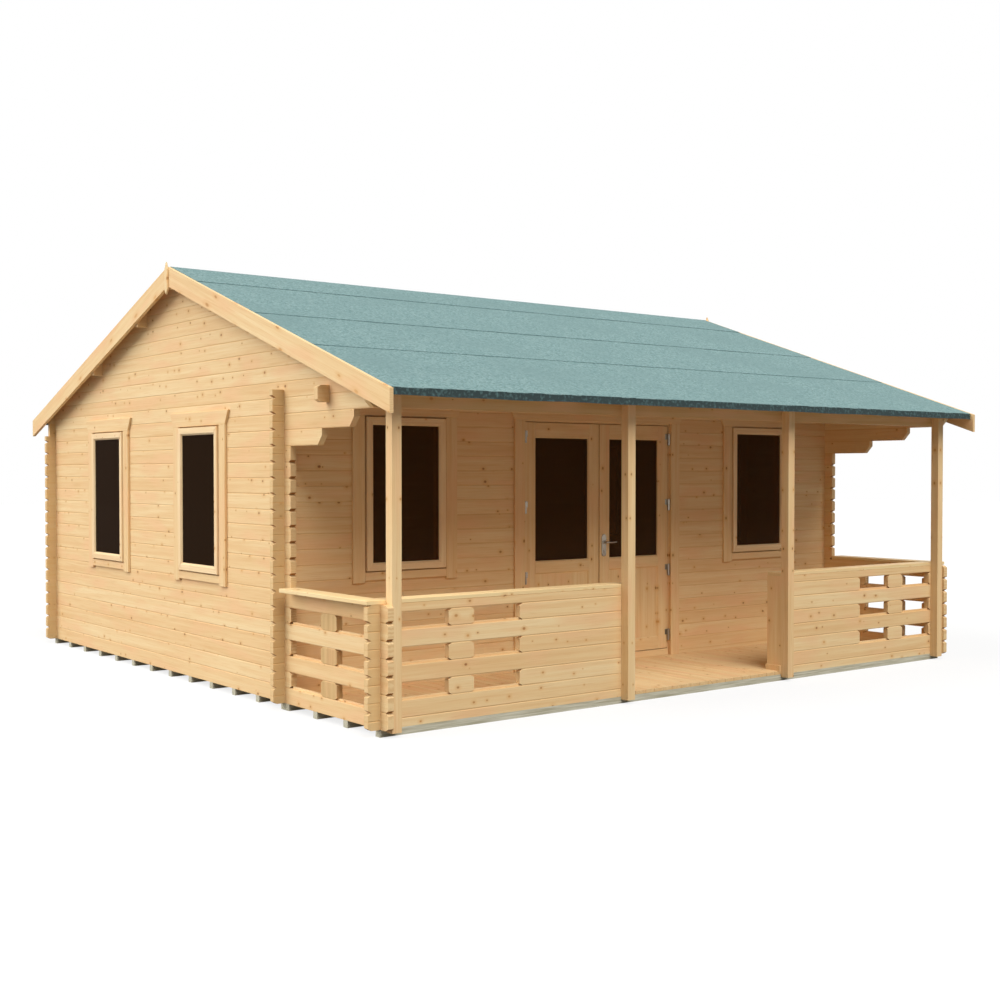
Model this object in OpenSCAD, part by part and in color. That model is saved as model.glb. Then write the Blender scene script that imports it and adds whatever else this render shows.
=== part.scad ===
// Log cabin with a railed veranda under one gable roof
// Front faces -Y, ridge runs along X, origin on the ground under the middle of the ridge

/* [Log frame] */
// Width over the two gable wall faces
frame_w = 5990; // [5200:10:6800]
// Depth from the veranda rail face to the rear wall face
frame_d = 5980; // [5200:10:6800]
// Depth of the veranda in front of the front wall
veranda_d = 1255; // [1150:5:1500]
// Height of one wall log
log_h = 114; // [108:0.5:120]
// Thickness of the wall logs
log_t = 45; // [34:1:60]
// Length that each log runs on past a crossing
log_end = 92; // [80:1:110]
// Size of the V groove along each log joint
groove = 6; // [3:0.5:8]
// Depth of the cut between two log ends
end_cut_d = 28; // [12:1:34]
// Half height of the cut between two log ends
end_cut_h = 16; // [8:1:20]
// Height of the tongue on top of a log
tongue_h = 14; // [8:1:18]
// Width of the tongue on top of a log
tongue_w = 16; // [10:1:20]
// Height of the ground bearers
bearer_h = 50; // [40:1:70]
// Width of the ground bearers
bearer_w = 54; // [40:1:55]
// Thickness of the floor boards
floor_t = 28; // [18:1:30]

/* [Roof] */
// Slope of the roof in degrees
roof_pitch = 19.1; // [17:0.1:20]
// Height of the roof boards over the doorway head at the front wall
over_door = 612; // [540:2:700]
// Reach of the eave past the rear wall face on plan
eave_over = 260; // [220:5:320]
// Reach of the roof boards past the gable wall face
gable_out = 84; // [60:1:120]
// Thickness of the roof boards
board_t = 20; // [16:1:24]
// Thickness of the roofing felt
felt_t = 5; // [3:0.5:8]
// Height of the felt folded down at the eave
felt_fold = 52; // [40:1:60]
// Width of the felt strip on each side of the ridge
ridge_strip = 515; // [400:5:600]
// Reach of the bargeboards past the eave edge
barge_out = 30; // [10:1:45]
// Height of the bargeboards
barge_h = 155; // [130:1:180]
// Thickness of the bargeboards
barge_t = 28; // [18:1:34]
// Width of the board over the bargeboard joint
finial_w = 84; // [70:1:110]
// Height of the board over the bargeboard joint
finial_h = 263; // [230:1:300]
// Height of the finial tip over the ridge
finial_up = 38; // [20:1:60]
// Slant of the finial's pointed ends
finial_cut = 36; // [24:1:42]
// Height of the roof purlins
purlin_h = 150; // [120:1:165]
// Width of the roof purlins
purlin_w = 58; // [45:1:70]
// Distance of the middle purlins from the ridge
purlin_y = 700; // [600:10:900]

/* [Veranda] */
// Side of the square posts
post_w = 72; // [60:1:80]
// Half width of the way in between the middle posts
way_in = 844; // [800:1:900]
// Width of each front rail opening
rail_gap = 390; // [340:5:420]
// Width of the block between two rail openings
rail_block = 208; // [180:2:240]
// Distance of the first front rail opening from the corner
rail_start = 100; // [80:1:140]
// Distance of the first left side rail opening from the corner
left_start = 115; // [90:1:140]
// Width of the first left side rail opening
left_gap = 378; // [340:2:410]
// Width of each right side rail opening
right_gap = 206; // [180:2:240]
// Distance of the first right side rail opening from the corner
right_start = 97; // [80:1:130]
// Width of the rail caps
cap_w = 146; // [120:2:160]
// Thickness of the rail caps
cap_t = 28; // [20:1:34]
// Overhang of the side caps past the gable wall face
cap_out = 96; // [60:1:96]
// Thickness of the boards that close the rail ends
end_board_t = 20; // [16:1:26]
// Thickness of the battens at the foot of the end boards
batten_t = 18; // [12:1:24]
// Height of the battens at the foot of the end boards
batten_h = 44; // [30:1:60]
// Reach of the lower bracket log from the front wall
bracket_1 = 530; // [440:5:580]
// Reach of the upper bracket log from the front wall
bracket_2 = 946; // [860:5:1000]
// Length of the slanted cut under a bracket log
bracket_cut = 60; // [40:1:70]
// Distance of the tie log from the front wall
tie_y = 633; // [600:5:760]

/* [Windows] */
// Width of the sash
sash_w = 712; // [640:2:780]
// Height of the sash
sash_h = 1142; // [1090:2:1170]
// Width of the sash members
sash_b = 60; // [50:1:72]
// Rise of the front sashes over the top of the door leaves
sash_rise = 4; // [0:1:16]
// Drop of the gable sashes under the front ones
gable_drop = 56; // [20:1:70]
// Distance of the front windows from the middle
front_win_x = 1970; // [1850:2:2050]
// Middle of the front gable window behind the front wall face
gable_win_1 = 1377; // [1250:1:1550]
// Middle of the rear gable window behind the front wall face
gable_win_2 = 3276; // [3150:1:3450]
// Gap round the sash
sash_gap = 10; // [6:1:14]
// Reach of the sash out of the wall face
sash_proud = 33; // [24:1:40]
// Margin of the wall opening round the sash
win_fit = 20; // [16:1:24]
// Width of the trim boards
trim_w = 104; // [80:1:114]
// Height of the trim over the windows and the door
head_h = 112; // [90:1:118]
// Spread of the slanted ends of the head trim
head_out = 58; // [30:1:70]
// Drop of the side trim under the sash
ear = 88; // [70:1:100]
// Rise of the sill trim over the foot of the side trim
sill_up = 18; // [10:1:30]
// Thickness of the trim boards
trim_t = 20; // [14:1:24]
// Thickness of the glass
glass_t = 16; // [6:1:24]

/* [Door] */
// Half width of the double door
door_half = 806; // [720:1:830]
// Height of the door leaves
leaf_h = 1956; // [1880:2:1970]
// Thickness of the door leaves
leaf_t = 42; // [38:1:50]
// Width of the door frame members
frame_b = 45; // [40:1:55]
// Gap between the leaves and round them
door_gap = 6; // [6:0.5:8]
// Height of the leaf foot over the wall foot
leaf_foot = 90; // [84:1:110]
// Width of the leaf stiles
stile = 108; // [90:1:125]
// Height of the glass foot over the leaf foot
glass_foot = 815; // [760:1:860]
// Height of the leaf's bottom rail
leaf_rail = 100; // [80:1:120]
// Height of the leaf's top rail
top_rail = 115; // [95:1:130]
// Height of the middle rail
mid_rail = 86; // [60:1:110]
// Depth of the lower panel under the stiles
panel_in = 12; // [8:1:14]
// Set-back of the leaves behind the wall face
leaf_back = 10; // [8:1:18]
// Height of the lever over the wall foot
handle_z = 1048; // [1000:1:1100]
// Length of the lever
lever_l = 112; // [100:1:130]
// Radius of the hinge barrels
barrel_r = 9; // [7:0.5:10]
// Length of the hinge barrels
barrel_l = 96; // [70:1:120]

/* [Hidden] */

foot = bearer_h;
half_w = frame_w / 2;
rail_y = -frame_d / 2;
front_y = rail_y + veranda_d;
rear_y = frame_d / 2;
slope = tan(roof_pitch);
cosp = cos(roof_pitch);
roof_end = half_w + gable_out;
rail_n = 7;
rail_rows = [1, 3, 5];
rail_top = foot + rail_n * log_h;
jamb = door_half + door_gap;
jamb_out = jamb + frame_b;
head_z = foot + leaf_foot + leaf_h + door_gap;
hole_z = head_z + frame_b;
roof_fit = 0.3;
ridge_z = head_z + over_door - slope * front_y + (felt_t + board_t + 2 * roof_fit) / cosp;
eave_out = rear_y + eave_over;
wall_logs = floor((under(rear_y) - foot) / log_h - 0.5);
wall_top = foot + (wall_logs + 0.5) * log_h;
bracket_n = wall_logs - 3;
front_sill = leaf_foot + leaf_h + sash_rise - sash_h;
gable_sill = front_sill - gable_drop;
axis_x = door_half + door_gap / 2;
axis_in = 12;
axis_y = front_y + leaf_back - axis_in;
hinge_in = 118;
hinge_n = 4;
hinge_pitch = (leaf_h - 2 * hinge_in) / (hinge_n - 1);
knuckle_gap = 0.4;
plate_w = 50;
plate_l = 138;
plate_t = 7;
plate_drop = 97;
handle_x = 52;
lever_out = 43;
rebate = 12;
stop_w = 18;
stop_t = 14;
bevel = 14;
lining_out = 12;
over_cut = 200;
post_lap = 20;
post_fit = 1;
beam_cut = 40;
jamb_lap = 3;
arm_t = 4;
spindle_r = 9;
lever_r = 8;
win_w = sash_w + 2 * win_fit;
win_h = sash_h + 2 * win_fit;
joist_n = 12;
bearer_gap = 3;
joist_pitch = (frame_d - veranda_d - bearer_w - bearer_gap) / joist_n;
veranda_n = 3;
veranda_pitch = (veranda_d - bearer_w - bearer_gap) / veranda_n;
wood = "#E3C088";
pale = "#EBCD9C";
treated = "#A9A68C";
roof_green = "#8FA9A7";
glass = "#2B2019";
steel = "#B9BCBE";

// Height of the roof boards' underside at distance y from the ridge
function under(y) = ridge_z - slope * abs(y) - (felt_t + board_t + 2 * roof_fit) / cosp;
// Joint heights of the logs along Y and of the logs along X, half a log apart
function joint_y(n) = foot + n * log_h;
function joint_x(n) = foot + (n + 0.5) * log_h;
// Every joint height under a wall top
function joints_y(top) = [for (n = [1:60]) if (joint_y(n) + 3 * groove < top) joint_y(n)];
function joints_x(top) = [for (n = [0:60]) if (joint_x(n) + 3 * groove < top) joint_x(n)];

// Stacked logs seen from the end, with a V groove at every joint on the near or the far face
module log_stack(zs, z0, za, zb, near, far) {
    polygon(concat([[0, z0], [log_t, z0]],
        [for (z = zs, p = [[log_t, -groove], [log_t - groove, 0], [log_t, groove]])
            if (far) [p[0], z + p[1]]],
        [[log_t, zb], [0, za]],
        [for (i = [len(zs) - 1:-1:0], p = [[0, groove], [groove, 0], [0, -groove]])
            if (near) [p[0], zs[i] + p[1]]]));
}

// Cuts between log ends, s is the side that the logs point to
module end_cuts(x, s, zs) {
    for (z = zs)
        polygon([[x + s, z - end_cut_h * (1 + 1 / end_cut_d)], [x - s * end_cut_d, z],
            [x + s, z + end_cut_h * (1 + 1 / end_cut_d)]]);
}

// Half of every log, cut away in a crossing where the other wall's logs pass
module crossing(x, first, count) {
    for (i = [0:count - 1])
        translate([x, first + i * log_h]) square([log_t, log_h / 2]);
}

// Wall along X: elevation in children, logs from the side profile
module wall_x(x0, x1, y, zs, z0, za, zb, near = true, far = false) {
    intersection() {
        translate([x0, y, 0]) rotate([90, 0, 90]) linear_extrude(x1 - x0)
            log_stack(zs, z0, za, zb, near, far);
        translate([0, y + log_t + 1, 0]) rotate([90, 0, 0]) linear_extrude(log_t + 2)
            children();
    }
}

// Wall along Y standing at x: elevation in children, logs from the side profile
module wall_y(y0, y1, x, zs, z0, z1, far = false) {
    intersection() {
        translate([x, y1, 0]) rotate([90, 0, 0]) linear_extrude(y1 - y0)
            log_stack(zs, z0, z1, z1, true, far);
        translate([x - 1, 0, 0]) rotate([90, 0, 90]) linear_extrude(log_t + 2) children();
    }
}

// Prism along X with its outline in Y and Z
module bar_x(x0, x1, points) {
    translate([x0, 0, 0]) rotate([90, 0, 90]) linear_extrude(x1 - x0) polygon(points);
}

module box(p, q) {
    translate(p) cube([q[0] - p[0], q[1] - p[1], q[2] - p[2]]);
}

module bearer(y) { box([-half_w, y, 0], [half_w, y + bearer_w, bearer_h]); }

module bearers() {
    color(treated) {
        for (i = [0:joist_n])
            bearer(front_y + bearer_gap + i * joist_pitch);
        for (i = [0:veranda_n])
            bearer(front_y - bearer_w - bearer_gap - i * veranda_pitch);
    }
}

module cabin_floor() {
    color(pale) {
        box([-half_w + log_t, front_y + log_t, foot], [half_w - log_t, rear_y - log_t, foot + floor_t]);
        box([-jamb_out, front_y, foot], [jamb_out, front_y + log_t, foot + floor_t]);
    }
}

module veranda_floor() {
    color(pale) {
        box([-half_w + log_t, rail_y + log_t, foot], [half_w - log_t, front_y, foot + floor_t]);
        box([-way_in - end_board_t, rail_y, foot],
            [way_in + end_board_t, rail_y + log_t, foot + floor_t]);
    }
}

// Front wall from the left corner to the door
module front_wall_side() {
    top = under(front_y + log_t / 2) - purlin_h;
    zs = joints_x(top);
    wall_x(-half_w - log_end, -jamb_out, front_y, zs, foot, top, top) {
        difference() {
            union() {
                translate([-half_w - log_end, foot])
                    square([half_w + log_end - jamb_out, wall_top - foot]);
                translate([-half_w + log_t, foot])
                    square([half_w - log_t - jamb_out, top - foot]);
            }
            end_cuts(-half_w - log_end, -1, [for (n = [-0.5:1:wall_logs]) joint_x(n)]);
            crossing(-half_w, foot + log_h / 4, wall_logs);
            translate([-half_w, foot + (wall_logs + 0.25) * log_h]) square([log_t, log_h]);
            translate([-front_win_x - win_w / 2, foot + front_sill - win_fit]) square([win_w, win_h]);
        }
    }
}

module front_wall_left() { color(wood) front_wall_side(); }

module front_wall_right() { color(wood) mirror([1, 0, 0]) front_wall_side(); }

module front_wall_head() {
    top = under(front_y + log_t / 2) - purlin_h;
    zs = joints_x(top);
    color(wood) wall_x(-jamb_out, jamb_out, front_y, zs, foot, top, top) {
        translate([-jamb_out, hole_z]) square([2 * jamb_out, top - hole_z]);
    }
}

// Gable wall with the bracket logs over the veranda, open_rows are the rail rows that stop at its logs
module gable_wall(open_rows) {
    zs = joints_y(under(0));
    end = rear_y + log_end;
    b1 = front_y - bracket_1;
    b2 = front_y - bracket_2;
    rise = bracket_cut * 1.1;
    wall_y(-end, end, -half_w, zs, foot, under(0) + 1) {
        difference() {
            polygon([[end, foot], [front_y - log_end, foot], [front_y - log_end, joint_y(bracket_n)],
                [b1 + bracket_cut, joint_y(bracket_n)], [b1, joint_y(bracket_n) + rise],
                [b1, joint_y(bracket_n + 1)],
                [b2 + bracket_cut, joint_y(bracket_n + 1)], [b2, joint_y(bracket_n + 1) + rise],
                [b2, joint_y(bracket_n + 2)],
                [-end + bracket_cut, joint_y(bracket_n + 2)], [-end, joint_y(bracket_n + 2) + rise],
                [-end, under(end)], [0, under(0)], [end, under(end)]]);
            end_cuts(end, 1, [for (n = [0:wall_logs - 1]) joint_y(n)]);
            end_cuts(front_y - log_end, -1, [for (n = [rail_n:bracket_n - 1]) joint_y(n)]);
            for (n = open_rows) rail_opening(front_y - log_end - 1, front_y - log_end, joint_y(n));
            for (y = [front_y, rear_y - log_t]) {
                crossing(y, foot + log_h * 0.75, wall_logs);
                translate([y, foot]) square([log_t, log_h / 4]);
            }
            translate([rail_y, joint_y(bracket_n + 2)]) square([log_t, log_h * 0.7]);
            translate([front_y - tie_y, foot + (wall_logs - 0.25) * log_h])
                square([log_t, log_h / 2]);
            for (y = [-1, 1])
                for (p = [purlin_y, -front_y - log_t / 2])
                    translate([y * p - purlin_w / 2, under(p) - purlin_h])
                        square([purlin_w, purlin_h + over_cut]);
            translate([-purlin_w / 2, under(0) - purlin_h]) square([purlin_w, purlin_h + over_cut]);
            for (w = [gable_win_1, gable_win_2])
                translate([front_y + w - win_w / 2, foot + gable_sill - win_fit]) square([win_w, win_h]);
        }
    }
}

module gable_wall_left() { color(wood) gable_wall(rail_rows); }

module gable_wall_right() { color(wood) mirror([1, 0, 0]) gable_wall([]); }

module rear_wall() {
    zs = joints_x(under(rear_y));
    out = half_w + log_end;
    short = roof_end - barge_t;
    y = rear_y - log_t;
    full = floor((ridge_z - slope * rear_y - barge_h - foot) / log_h - 0.5);
    color(wood) wall_x(-out, out, y, zs, foot, under(y), under(rear_y), false, true) {
        difference() {
            union() {
                translate([-out, foot]) square([2 * out, joint_x(full) - foot]);
                translate([-short, foot]) square([2 * short, wall_top - foot]);
                translate([-half_w + log_t, foot])
                    square([frame_w - 2 * log_t, under(y) - foot]);
            }
            for (s = [-1, 1])
                end_cuts(s * out, s, [for (n = [-0.5:1:full]) joint_x(n)]);
            for (x = [-half_w, half_w - log_t]) {
                crossing(x, foot + log_h / 4, wall_logs);
                translate([x, foot + (wall_logs + 0.25) * log_h]) square([log_t, log_h]);
            }
        }
    }
}

// Opening between two logs of a rail, flared where the cut logs are bevelled
module rail_opening(x0, x1, z) {
    d = end_cut_d;
    h = end_cut_h;
    polygon([[x0 - d, z], [x1 + d, z], [x1, z + h], [x1, z + log_h - h], [x1 + d, z + log_h],
        [x0 - d, z + log_h], [x0, z + log_h - h], [x0, z + h]]);
}

// Side rail as the left one, gaps are the spans of its openings along Y
module side_rail(gaps) {
    y0 = rail_y - log_end;
    y1 = front_y - log_end;
    wall_y(y0, y1, -half_w, [for (n = [1:rail_n - 1]) joint_y(n)], foot, rail_top) {
        difference() {
            translate([y0, foot]) square([y1 - y0, rail_top - foot]);
            end_cuts(y0, -1, [for (n = [0:rail_n]) joint_y(n)]);
            translate([rail_y, foot]) square([log_t, log_h / 4]);
            crossing(rail_y, foot + log_h * 0.75, rail_n - 1);
            translate([rail_y, rail_top - log_h / 4]) square([log_t, log_h]);
            for (n = rail_rows, g = gaps) rail_opening(g[0], g[1], joint_y(n));
        }
    }
    for (n = rail_rows, g = gaps)
        box([-half_w + (log_t - tongue_w) / 2, g[0] - end_cut_d, joint_y(n)],
            [-half_w + (log_t + tongue_w) / 2, min(g[1] + end_cut_d, y1), joint_y(n) + tongue_h]);
}

module side_rail_left() {
    gap_1 = rail_y + log_t + left_start;
    gap_2 = gap_1 + left_gap + rail_block;
    color(wood) side_rail([[gap_1, gap_1 + left_gap], [gap_2, front_y - log_end]]);
}

module side_rail_right() {
    gap_1 = rail_y + log_t + right_start;
    gap_2 = gap_1 + right_gap + rail_block;
    color(wood) mirror([1, 0, 0])
        side_rail([[gap_1, gap_1 + right_gap], [gap_2, gap_2 + right_gap]]);
}

module front_rail() {
    x0 = -half_w - log_end;
    x1 = -way_in - end_board_t;
    gap_1 = -half_w + log_t + rail_start;
    gap_2 = gap_1 + rail_gap + rail_block;
    wall_x(x0, x1, rail_y, [for (n = [0:rail_n - 1]) joint_x(n)], foot, rail_top, rail_top) {
        difference() {
            translate([x0, foot]) square([x1 - x0, rail_top - foot]);
            end_cuts(x0, -1, [for (n = [-0.5:1:rail_n - 0.5]) joint_x(n)]);
            crossing(-half_w, foot + log_h / 4, rail_n);
            for (n = rail_rows, x = [gap_1, gap_2]) rail_opening(x, x + rail_gap, joint_x(n));
        }
    }
    for (n = rail_rows, x = [gap_1, gap_2])
        box([x - end_cut_d, rail_y + (log_t - tongue_w) / 2, joint_x(n)],
            [x + rail_gap + end_cut_d, rail_y + (log_t + tongue_w) / 2, joint_x(n) + tongue_h]);
}

module front_rail_left() { color(wood) front_rail(); }

module front_rail_right() { color(wood) mirror([1, 0, 0]) front_rail(); }

// Caps on the rails, each side cap ending at the gable wall's log ends
module rail_caps() {
    color(pale) for (s = [0, 1]) mirror([s, 0, 0])
        translate([0, 0, rail_top]) linear_extrude(cap_t) polygon([
            [-way_in, rail_y], [-way_in, rail_y + cap_w],
            [-half_w - cap_out + cap_w, rail_y + cap_w],
            [-half_w - cap_out + cap_w, front_y - log_end],
            [-half_w - cap_out, front_y - log_end], [-half_w - cap_out, rail_y]]);
}

// Boards on the rail ends, with a batten along the foot of each
module rail_end_boards() {
    color(pale) for (s = [0, 1]) mirror([s, 0, 0])
        {
            box([-way_in - end_board_t, rail_y, foot + floor_t],
                [-way_in, rail_y + cap_w, rail_top]);
            box([-way_in, rail_y, foot + floor_t],
                [-way_in + batten_t, rail_y + cap_w, foot + floor_t + batten_h]);
        }
}

module veranda_posts() {
    color(wood) for (s = [-1, 1])
        for (x = [way_in, half_w - log_t - post_fit - post_w])
            bar_x(s * (x + post_w / 2) - post_w / 2, s * (x + post_w / 2) + post_w / 2,
                [[rail_y - post_w, foot - post_lap], [rail_y, foot - post_lap], [rail_y, under(rail_y)],
                [rail_y - post_w, under(rail_y - post_w)]]);
}

// Beam over the posts, lapped with the gable logs
module eave_beam() {
    z0 = joint_y(bracket_n + 2);
    lap = z0 + log_h * 0.7;
    color(wood) difference() {
        bar_x(-roof_end, roof_end, [[rail_y, z0], [rail_y + log_t, z0],
            [rail_y + log_t, under(rail_y + log_t)], [rail_y, under(rail_y)]]);
        for (s = [0, 1]) mirror([s, 0, 0]) {
            box([-half_w, rail_y - 1, lap], [-half_w + log_t, rail_y + log_t + 1, lap + over_cut]);
            translate([-roof_end, rail_y + log_t / 2, z0]) rotate([0, 45, 0])
                cube([beam_cut * sqrt(2), log_t + 2, beam_cut * sqrt(2)], center = true);
        }
    }
}

// Log that ties the two gable walls over the veranda
module tie_log() {
    z0 = joint_x(wall_logs - 1);
    y = front_y - tie_y;
    out = half_w + log_end;
    color(wood) wall_x(-out, out, y, [], z0, z0 + log_h, z0 + log_h) {
        difference() {
            translate([-out, z0]) square([2 * out, log_h]);
            for (s = [-1, 1]) end_cuts(s * out, s, [z0, z0 + log_h]);
            for (x = [-half_w, half_w - log_t], z = [z0, z0 + log_h * 0.75])
                translate([x, z]) square([log_t, log_h / 4]);
        }
    }
}

module purlin(y) {
    z0 = under(y) - purlin_h;
    bar_x(-roof_end, roof_end, [[y - purlin_w / 2, z0], [y + purlin_w / 2, z0],
        [y + purlin_w / 2, under(y + purlin_w / 2)], [y - purlin_w / 2, under(y - purlin_w / 2)]]);
}

module purlins() {
    color(wood) {
        for (s = [-1, 1]) {
            purlin(s * purlin_y);
            purlin(s * (-front_y - log_t / 2));
        }
        bar_x(-roof_end, roof_end, [[-purlin_w / 2, under(0) - purlin_h],
            [purlin_w / 2, under(0) - purlin_h], [purlin_w / 2, under(purlin_w / 2)],
            [0, under(0)], [-purlin_w / 2, under(purlin_w / 2)]]);
    }
}

// Layer of the front roof slope between two depths under the felt's face
module slope_layer(y0, y1, d0, d1) {
    bar_x(-roof_end, roof_end, [[-y0, ridge_z - slope * y0 - d1 / cosp],
        [-y0, ridge_z - slope * y0 - d0 / cosp], [-y1, ridge_z - slope * y1 - d0 / cosp],
        [-y1, ridge_z - slope * y1 - d1 / cosp]]);
}

module roof_boards_front() {
    color(pale) slope_layer(0, eave_out - felt_t - roof_fit, felt_t + roof_fit,
        felt_t + roof_fit + board_t);
}

module roof_boards_rear() { color(pale) mirror([0, 1, 0]) roof_boards_front(); }

module felt_front() {
    z = ridge_z - slope * eave_out;
    color(roof_green) bar_x(-roof_end, roof_end, [[0, ridge_z], [-eave_out, z],
        [-eave_out, z - felt_fold], [-eave_out + felt_t, z - felt_fold],
        [-eave_out + felt_t, z + slope * felt_t - felt_t / cosp], [0, ridge_z - felt_t / cosp]]);
}

module felt_rear() { mirror([0, 1, 0]) felt_front(); }

module felt_ridge() {
    low = ridge_z + roof_fit / cosp;
    lift = felt_t * 0.8 / cosp;
    out = ridge_strip * cosp;
    color(roof_green) bar_x(-roof_end, roof_end, [[0, low + lift],
        [-out, low + lift - out * slope], [-out, low - out * slope], [0, low],
        [out, low - out * slope], [out, low + lift - out * slope]]);
}

module barge_pair() {
    end = eave_out + barge_out;
    z = ridge_z - slope * end;
    for (s = [0, 1]) mirror([0, s, 0])
        bar_x(-roof_end - barge_t, -roof_end, [[0, ridge_z], [-end, z],
            [-end, z - barge_h], [0, ridge_z - barge_h]]);
}

module bargeboards_left() { color(pale) barge_pair(); }

module bargeboards_right() { color(pale) mirror([1, 0, 0]) barge_pair(); }

module finials() {
    top = ridge_z + finial_up;
    low = top - finial_h;
    color(pale) for (s = [0, 1]) mirror([s, 0, 0])
        bar_x(-roof_end - barge_t - trim_t, -roof_end - barge_t, [[0, low],
            [finial_w / 2, low + finial_cut], [finial_w / 2, top - finial_cut], [0, top],
            [-finial_w / 2, top - finial_cut], [-finial_w / 2, low + finial_cut]]);
}

// Trim board over an opening, its ends slanting outwards
module head_trim(w) {
    polygon([[-w, 0], [w, 0], [w + head_out, head_h], [-w - head_out, head_h]]);
}

// Window seen from outside with the sash foot at zero, looking along +Y into a wall face at y = 0
module window_unit() {
    w = sash_w / 2;
    x = w + sash_gap;
    gw = sash_w - 2 * sash_b;
    gh = sash_h - 2 * sash_b;
    difference() {
        union() {
            translate([-win_w / 2, 0, -win_fit]) cube([win_w, log_t + lining_out, win_h]);
            translate([-w, -sash_proud, 0]) cube([sash_w, log_t + sash_proud, sash_h]);
            for (s = [0, 1]) mirror([s, 0, 0])
                translate([x, -trim_t, -ear]) cube([trim_w, trim_t, sash_h + sash_gap + ear]);
            rotate([90, 0, 0]) linear_extrude(trim_t) {
                translate([0, sash_h + sash_gap]) head_trim(x + trim_w);
                translate([-x, -ear + sill_up]) square([2 * x, ear - sill_up - sash_gap]);
            }
        }
        translate([-gw / 2, -over_cut / 2, sash_b]) cube([gw, over_cut, gh]);
        hull() {
            translate([-gw / 2 - bevel, -sash_proud - 1, sash_b - bevel])
                cube([gw + 2 * bevel, 1, gh + 2 * bevel]);
            translate([-gw / 2, -sash_proud + bevel, sash_b]) cube([gw, 1, gh]);
        }
    }
}

module pane() {
    translate([-sash_w / 2 + sash_b, -sash_proud + bevel + 2, sash_b])
        cube([sash_w - 2 * sash_b, glass_t, sash_h - 2 * sash_b]);
}

module at_front(s) { translate([s * front_win_x, front_y, foot + front_sill]) children(); }

module at_gable(w) {
    translate([-half_w, front_y + w, foot + gable_sill]) rotate([0, 0, -90]) children();
}

module window_front_left() { color(wood) at_front(-1) window_unit(); }

module window_front_right() { color(wood) at_front(1) window_unit(); }

module window_left_front() { color(wood) at_gable(gable_win_1) window_unit(); }

module window_left_rear() { color(wood) at_gable(gable_win_2) window_unit(); }

module window_right_front() { color(wood) mirror([1, 0, 0]) at_gable(gable_win_1) window_unit(); }

module window_right_rear() { color(wood) mirror([1, 0, 0]) at_gable(gable_win_2) window_unit(); }

module glass_front() {
    color(glass) for (s = [-1, 1]) at_front(s) pane();
}

module glass_side() {
    for (w = [gable_win_1, gable_win_2]) at_gable(w) pane();
}

module glass_left() { color(glass) glass_side(); }

module glass_right() { color(glass) mirror([1, 0, 0]) glass_side(); }

// Jambs, head, sill, stops and trim round the doorway
module door_frame() {
    stop_y = front_y + leaf_back + leaf_t + door_gap;
    sill_z = foot + leaf_foot - door_gap;
    color(wood) {
        for (s = [0, 1]) mirror([s, 0, 0]) {
            box([jamb, front_y + leaf_back + jamb_lap, foot + floor_t], [jamb_out, stop_y + stop_t, hole_z]);
            box([jamb + rebate, front_y, foot + floor_t], [jamb_out, front_y + leaf_back + jamb_lap, hole_z]);
            box([jamb - stop_w, stop_y, sill_z], [jamb, stop_y + stop_t, head_z]);
            box([jamb + rebate, front_y - trim_t, foot + floor_t],
                [jamb + rebate + trim_w, front_y, head_z + rebate]);
        }
        box([-jamb, front_y, head_z], [jamb, stop_y + stop_t, hole_z]);
        box([-jamb + stop_w, stop_y, head_z - stop_w], [jamb - stop_w, stop_y + stop_t, head_z]);
        box([-jamb, front_y, foot + floor_t], [jamb, stop_y + stop_t, sill_z]);
        translate([0, front_y, 0]) rotate([90, 0, 0]) linear_extrude(trim_t)
            translate([0, head_z + rebate]) head_trim(jamb + rebate + trim_w);
    }
}

// Left leaf with a glazed opening and a sunk panel on both faces
module leaf() {
    x0 = -door_half;
    w = door_half - door_gap + 1;
    z0 = foot + leaf_foot;
    y0 = front_y + leaf_back;
    difference() {
        box([x0, y0, z0], [x0 + w, y0 + leaf_t, z0 + leaf_h]);
        box([x0 + stile, y0 - 1, z0 + glass_foot],
            [x0 + w - stile, y0 + leaf_t + 1, z0 + leaf_h - top_rail]);
        for (y = [y0 - panel_in, y0 + leaf_t - panel_in])
            box([x0 + stile, y, z0 + leaf_rail], [x0 + w - stile, y + 2 * panel_in,
                z0 + glass_foot - mid_rail]);
    }
}

module leaf_pane() {
    x0 = -door_half;
    w = door_half - door_gap + 1;
    z0 = foot + leaf_foot;
    y0 = front_y + leaf_back + (leaf_t - glass_t) / 2;
    box([x0 + stile, y0, z0 + glass_foot],
        [x0 + w - stile, y0 + glass_t, z0 + leaf_h - top_rail]);
}

// Places of the hinges on the left jamb, at the joint between the two knuckles
module at_hinges() {
    for (i = [0:hinge_n - 1])
        translate([-axis_x, axis_y, foot + leaf_foot + hinge_in + i * hinge_pitch]) children();
}

// Upper knuckles with the arms that carry the leaf
module knuckles_up() {
    h = barrel_l / 2;
    at_hinges() translate([0, 0, knuckle_gap]) {
        cylinder(r = barrel_r, h = h, $fn = 32);
        translate([door_gap / 2 + 1, 0, 0]) cube([barrel_r, axis_in, h]);
    }
}

// Lower knuckles with the arms fixed to the jamb
module knuckles_low() {
    h = barrel_l / 2;
    at_hinges() translate([0, 0, -h]) {
        cylinder(r = barrel_r, h = h, $fn = 32);
        translate([-door_gap / 2 - rebate, -arm_t / 2, 0]) cube([door_gap / 2 + rebate, arm_t, h]);
    }
}

module door_leaf_left() { color(wood) leaf(); }

module door_leaf_right() { color(wood) mirror([1, 0, 0]) leaf(); }

module door_glass_left() { color(glass) leaf_pane(); }

module door_glass_right() { color(glass) mirror([1, 0, 0]) leaf_pane(); }

module hinges_left() { color(steel) knuckles_up(); }

module hinges_right() { color(steel) mirror([1, 0, 0]) knuckles_up(); }

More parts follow.
